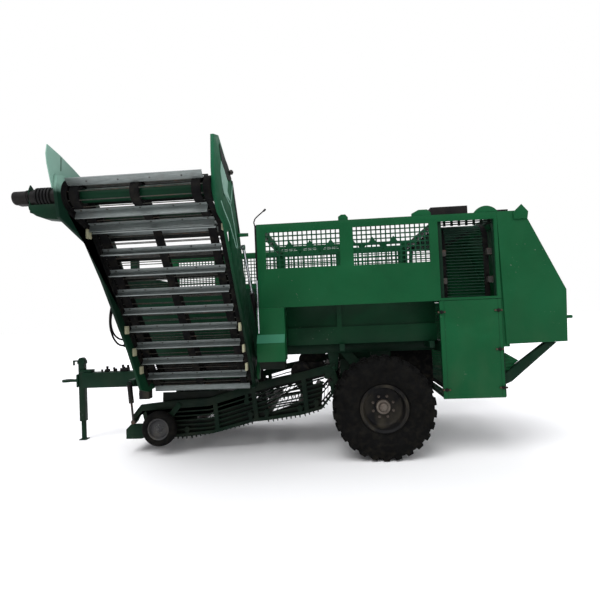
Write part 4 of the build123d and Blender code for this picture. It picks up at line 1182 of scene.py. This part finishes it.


# Lower guards: the fold on their slope in painted light, and the tray below them in painted shade, in y and z
fold_corners = metres((1121, 1291.2, 1409), (1449, 1291.2, 1409), (1449, 1222, 1504.5), (1121, 1222, 1504.5))
tray_outline = metres((1060, 1189), (1284, 1189), (1190, 1090), (1060, 1090))
tray_x, tray_length = 1.130, 0.300


def make_guard_trim():
    for side_name, side in both_sides:
        fold = slab([(x, side * y, z) for x, y, z in fold_corners], (0, side * 0.0012, 0.0008))
        finished(fold, f"guard_fold_{side_name}", "root", "green_paint", fold_paint)
        tray = cross_panel([(side * y, z) for y, z in tray_outline], tray_x, tray_length, 0.004)
        finished(tray, f"guard_tray_{side_name}", "root", "dark_green_paint", inner_shade_paint)


# Rear guard: a slatted corner below the doors; the strip behind the hood's seam, the ring window's lattice and the
# peg on the hood
guard_outline = metres((-1430, 1184), (-1576, 1092), (-1488, 1020), (-1440, 947), (-1405, 960), (-1405, 1180))
guard_y, guard_depth, slat_front, slat_low, slat_step, slat_tall = 1.120, 0.006, -1.410, 0.985, 0.040, 0.014
slat_rears = (-1.480, -1.500, -1.520, -1.510, -1.460)
seam_strip = ((-1.462, 1.194, 1.262), (-1.387, 1.198, 2.795))
lattice_y, lattice_depth, lattice_rails = 1.150, 0.006, (2.700, 2.727, 2.754, 2.781)
rail_x, rail_height, post_z = (-1.350, -0.720), 0.014, (2.690, 2.800)
lattice_posts, first_post, post_pitch, post_width = 7, -1.330, 0.085, 0.030
peg_place, peg_reach, collar_reach = (1.100, 1.575), (-2.085, -2.215), (-2.125, -2.140)


def make_rear_trim():
    for side_name, side in both_sides:
        plate = panel(guard_outline, side * guard_y, side * guard_depth, 0.001)
        inner, outer = side * (guard_y + guard_depth), side * (guard_y + 3 * guard_depth)
        slats = []
        for k, rear in enumerate(slat_rears):
            z = slat_low + slat_step * k
            slats.append(block((rear, inner, z), (slat_front, outer, z + slat_tall), 0.002))
        finished(joined([plate, *slats]), f"rear_guard_{side_name}", "root", "green_paint")
        low, high = ((x, side * y, z) for x, y, z in seam_strip)
        finished(block(low, high, 0), f"hood_seam_strip_{side_name}", "root", "green_paint")
        # The ring window's lattice is painted near black as painted shade.
        inner, middle, outer = (side * (lattice_y + lattice_depth * k) for k in (-1, 0, 1))
        lattice = [block((rail_x[0], middle, z), (rail_x[1], outer, z + rail_height), 0) for z in lattice_rails]
        for k in range(lattice_posts):
            x = first_post + post_pitch * k
            lattice.append(block((x, inner, post_z[0]), (x + post_width, middle, post_z[1]), 0))
        finished(joined(lattice), f"ring_window_lattice_{side_name}", "root", "dark_green_paint", inner_shade_paint)
    parts = []
    for (x0, x1), radius, count in ((peg_reach, 0.019, 16), (collar_reach, 0.026, 20)):
        parts.append(bar((x0, *peg_place), (x1, *peg_place), radius, count, 0.003))
    finished(joined(parts), "hood_peg", "root", "green_paint")


# Studio: a sky, as height and brightness, and three wide lamps, as name, place, strength and spread
sky_levels, sky_blue = ((0.02, 0.16), (0.75, 1.0)), 1.04
studio_lamps = (
    ("key", (3.5, 7.0, 10.0), 1.5, 0.7), ("fill", (-7.0, 6.0, 6.0), 0.5, 1.0), ("back", (2.0, -8.0, 9.0), 0.5, 1.0),
)


def make_sky():
    """Light from a sky that is bright overhead and dim at the horizon; the camera sees plain white instead."""
    world = bpy.data.worlds.new("studio_sky")
    bpy.context.scene.world = world
    world.use_nodes = True
    sky = Nodes(world.node_tree)
    light = sky.tree.nodes["Background"]
    light.inputs["Strength"].default_value = 1.0
    high = sky.node("ShaderNodeSeparateXYZ", sky.node("ShaderNodeTexCoord").outputs["Generated"]).outputs["Z"]
    ramp = sky.node("ShaderNodeValToRGB", high)
    for element, (place, level) in zip(ramp.color_ramp.elements, sky_levels):
        element.position = place
        element.color = (level, level, level * sky_blue, 1)
    sky.link(ramp.outputs["Color"], light.inputs["Color"])
    white = sky.node("ShaderNodeBackground", values=(("Color", (1, 1, 1, 1)), ("Strength", 1.0)))
    rays = sky.node("ShaderNodeLightPath").outputs
    seen = sky.node("ShaderNodeMath", rays["Is Camera Ray"], rays["Is Transmission Ray"], operation="MAXIMUM")
    mix = sky.node("ShaderNodeMixShader", seen.outputs["Value"], light.outputs["Background"],
                   white.outputs["Background"])
    sky.link(mix.outputs["Shader"], sky.tree.nodes["World Output"].inputs["Surface"])


def make_studio():
    bpy.ops.object.select_all(action="DESELECT")
    bpy.ops.mesh.primitive_plane_add(size=120, location=(0, 0, 0))
    floor = bpy.context.object
    floor.name = "studio_floor"
    finish = Finish("pale_floor", 0.9)
    finish.coloured(finish.shades(finish.noise(0.4, 2), (0.3, (250, 250, 250)), (0.7, (254, 254, 254))))
    floor.data.materials.append(finish.material)
    make_sky()
    for name, place, strength, spread in studio_lamps:
        data = bpy.data.lights.new(name, "SUN")
        data.energy = strength
        data.angle = spread
        lamp = bpy.data.objects.new(name, data)
        lamp.rotation_euler = (-Vector(place)).to_track_quat("-Z", "Y").to_euler()
        bpy.context.scene.collection.objects.link(lamp)
    bpy.context.scene.view_settings.view_transform = "Standard"


# CAD nodes that get rounded edges, what some of them are painted with instead of their slot's finish, and where the
# rear side frame is cut back so that its lower edge runs close along the flights
shaped_nodes = (
    "body_side_left", "body_side_right", "door_panel_left", "door_panel_right", "rear_hood", "drawbar", "jack_leg",
    "front_portal", "rear_frame", "rear_struts", "chassis_frame", "axle_beam", "lower_guards", "inner_walls",
    "digger_side_left", "digger_side_right", "elevator_wall_rear", "elevator_wall_front", "elevator_arm",
    "gauge_arms", "front_bay", "front_frame", "roof_lugs", "jack_tube", "towing_eye", "top_fittings", "paddle_bar",
    "main_web_boards", "lift_rod_left", "lift_rod_right",
)
node_paint = dict.fromkeys(("chassis_frame", "drawbar", "jack_tube", "jack_leg", "towing_eye", "gauge_arms",
                            "rear_struts", "rear_frame"), finishes["dark_green_paint"])
node_paint |= dict.fromkeys(("digger_side_left", "digger_side_right", "main_web_boards"), digger_shade_paint)
node_paint |= dict.fromkeys(("lift_rod_left", "lift_rod_right"), finishes["dark_steel"])
node_paint |= {"front_bay": bay_shade_paint, "inner_walls": recess_shade_paint, "elevator_wall_rear": rear_wall_paint,
               "elevator_wall_front": front_wall_paint, "roof_lugs": finishes["green_paint"]}
rear_cut = metres(
    (2398, 2620), (1246, 1078), (1165, 930), (1400, 800), (1750, 1050), (2300, 1950), (2640, 2560), (2589, 2675),
)


def shape_cad_nodes():
    cutters = {"elevator_wall_rear": cross_panel(rear_cut, 1.500, 0.060)}
    for node in shaped_nodes:
        softened(node, node_paint.get(node), cutters.get(node))


make_camera()
make_hoses()
dress_cad_nodes()
for side_name, side in both_sides:
    make_tyre(side, side_name)
    make_rim(side, side_name)
    make_gauge_wheel(side, side_name)
for make in (make_webs, make_flights, make_elevator_shafts, make_skirts, make_guide_blocks, make_window_mesh,
             make_door_trim, make_share, make_folds, make_head, make_front_post, make_shade_sheets,
             make_drawbar_fittings, make_web_lugs, make_digger_sheets, make_guard_trim, make_rear_trim,
             shape_cad_nodes, make_studio):
    make()
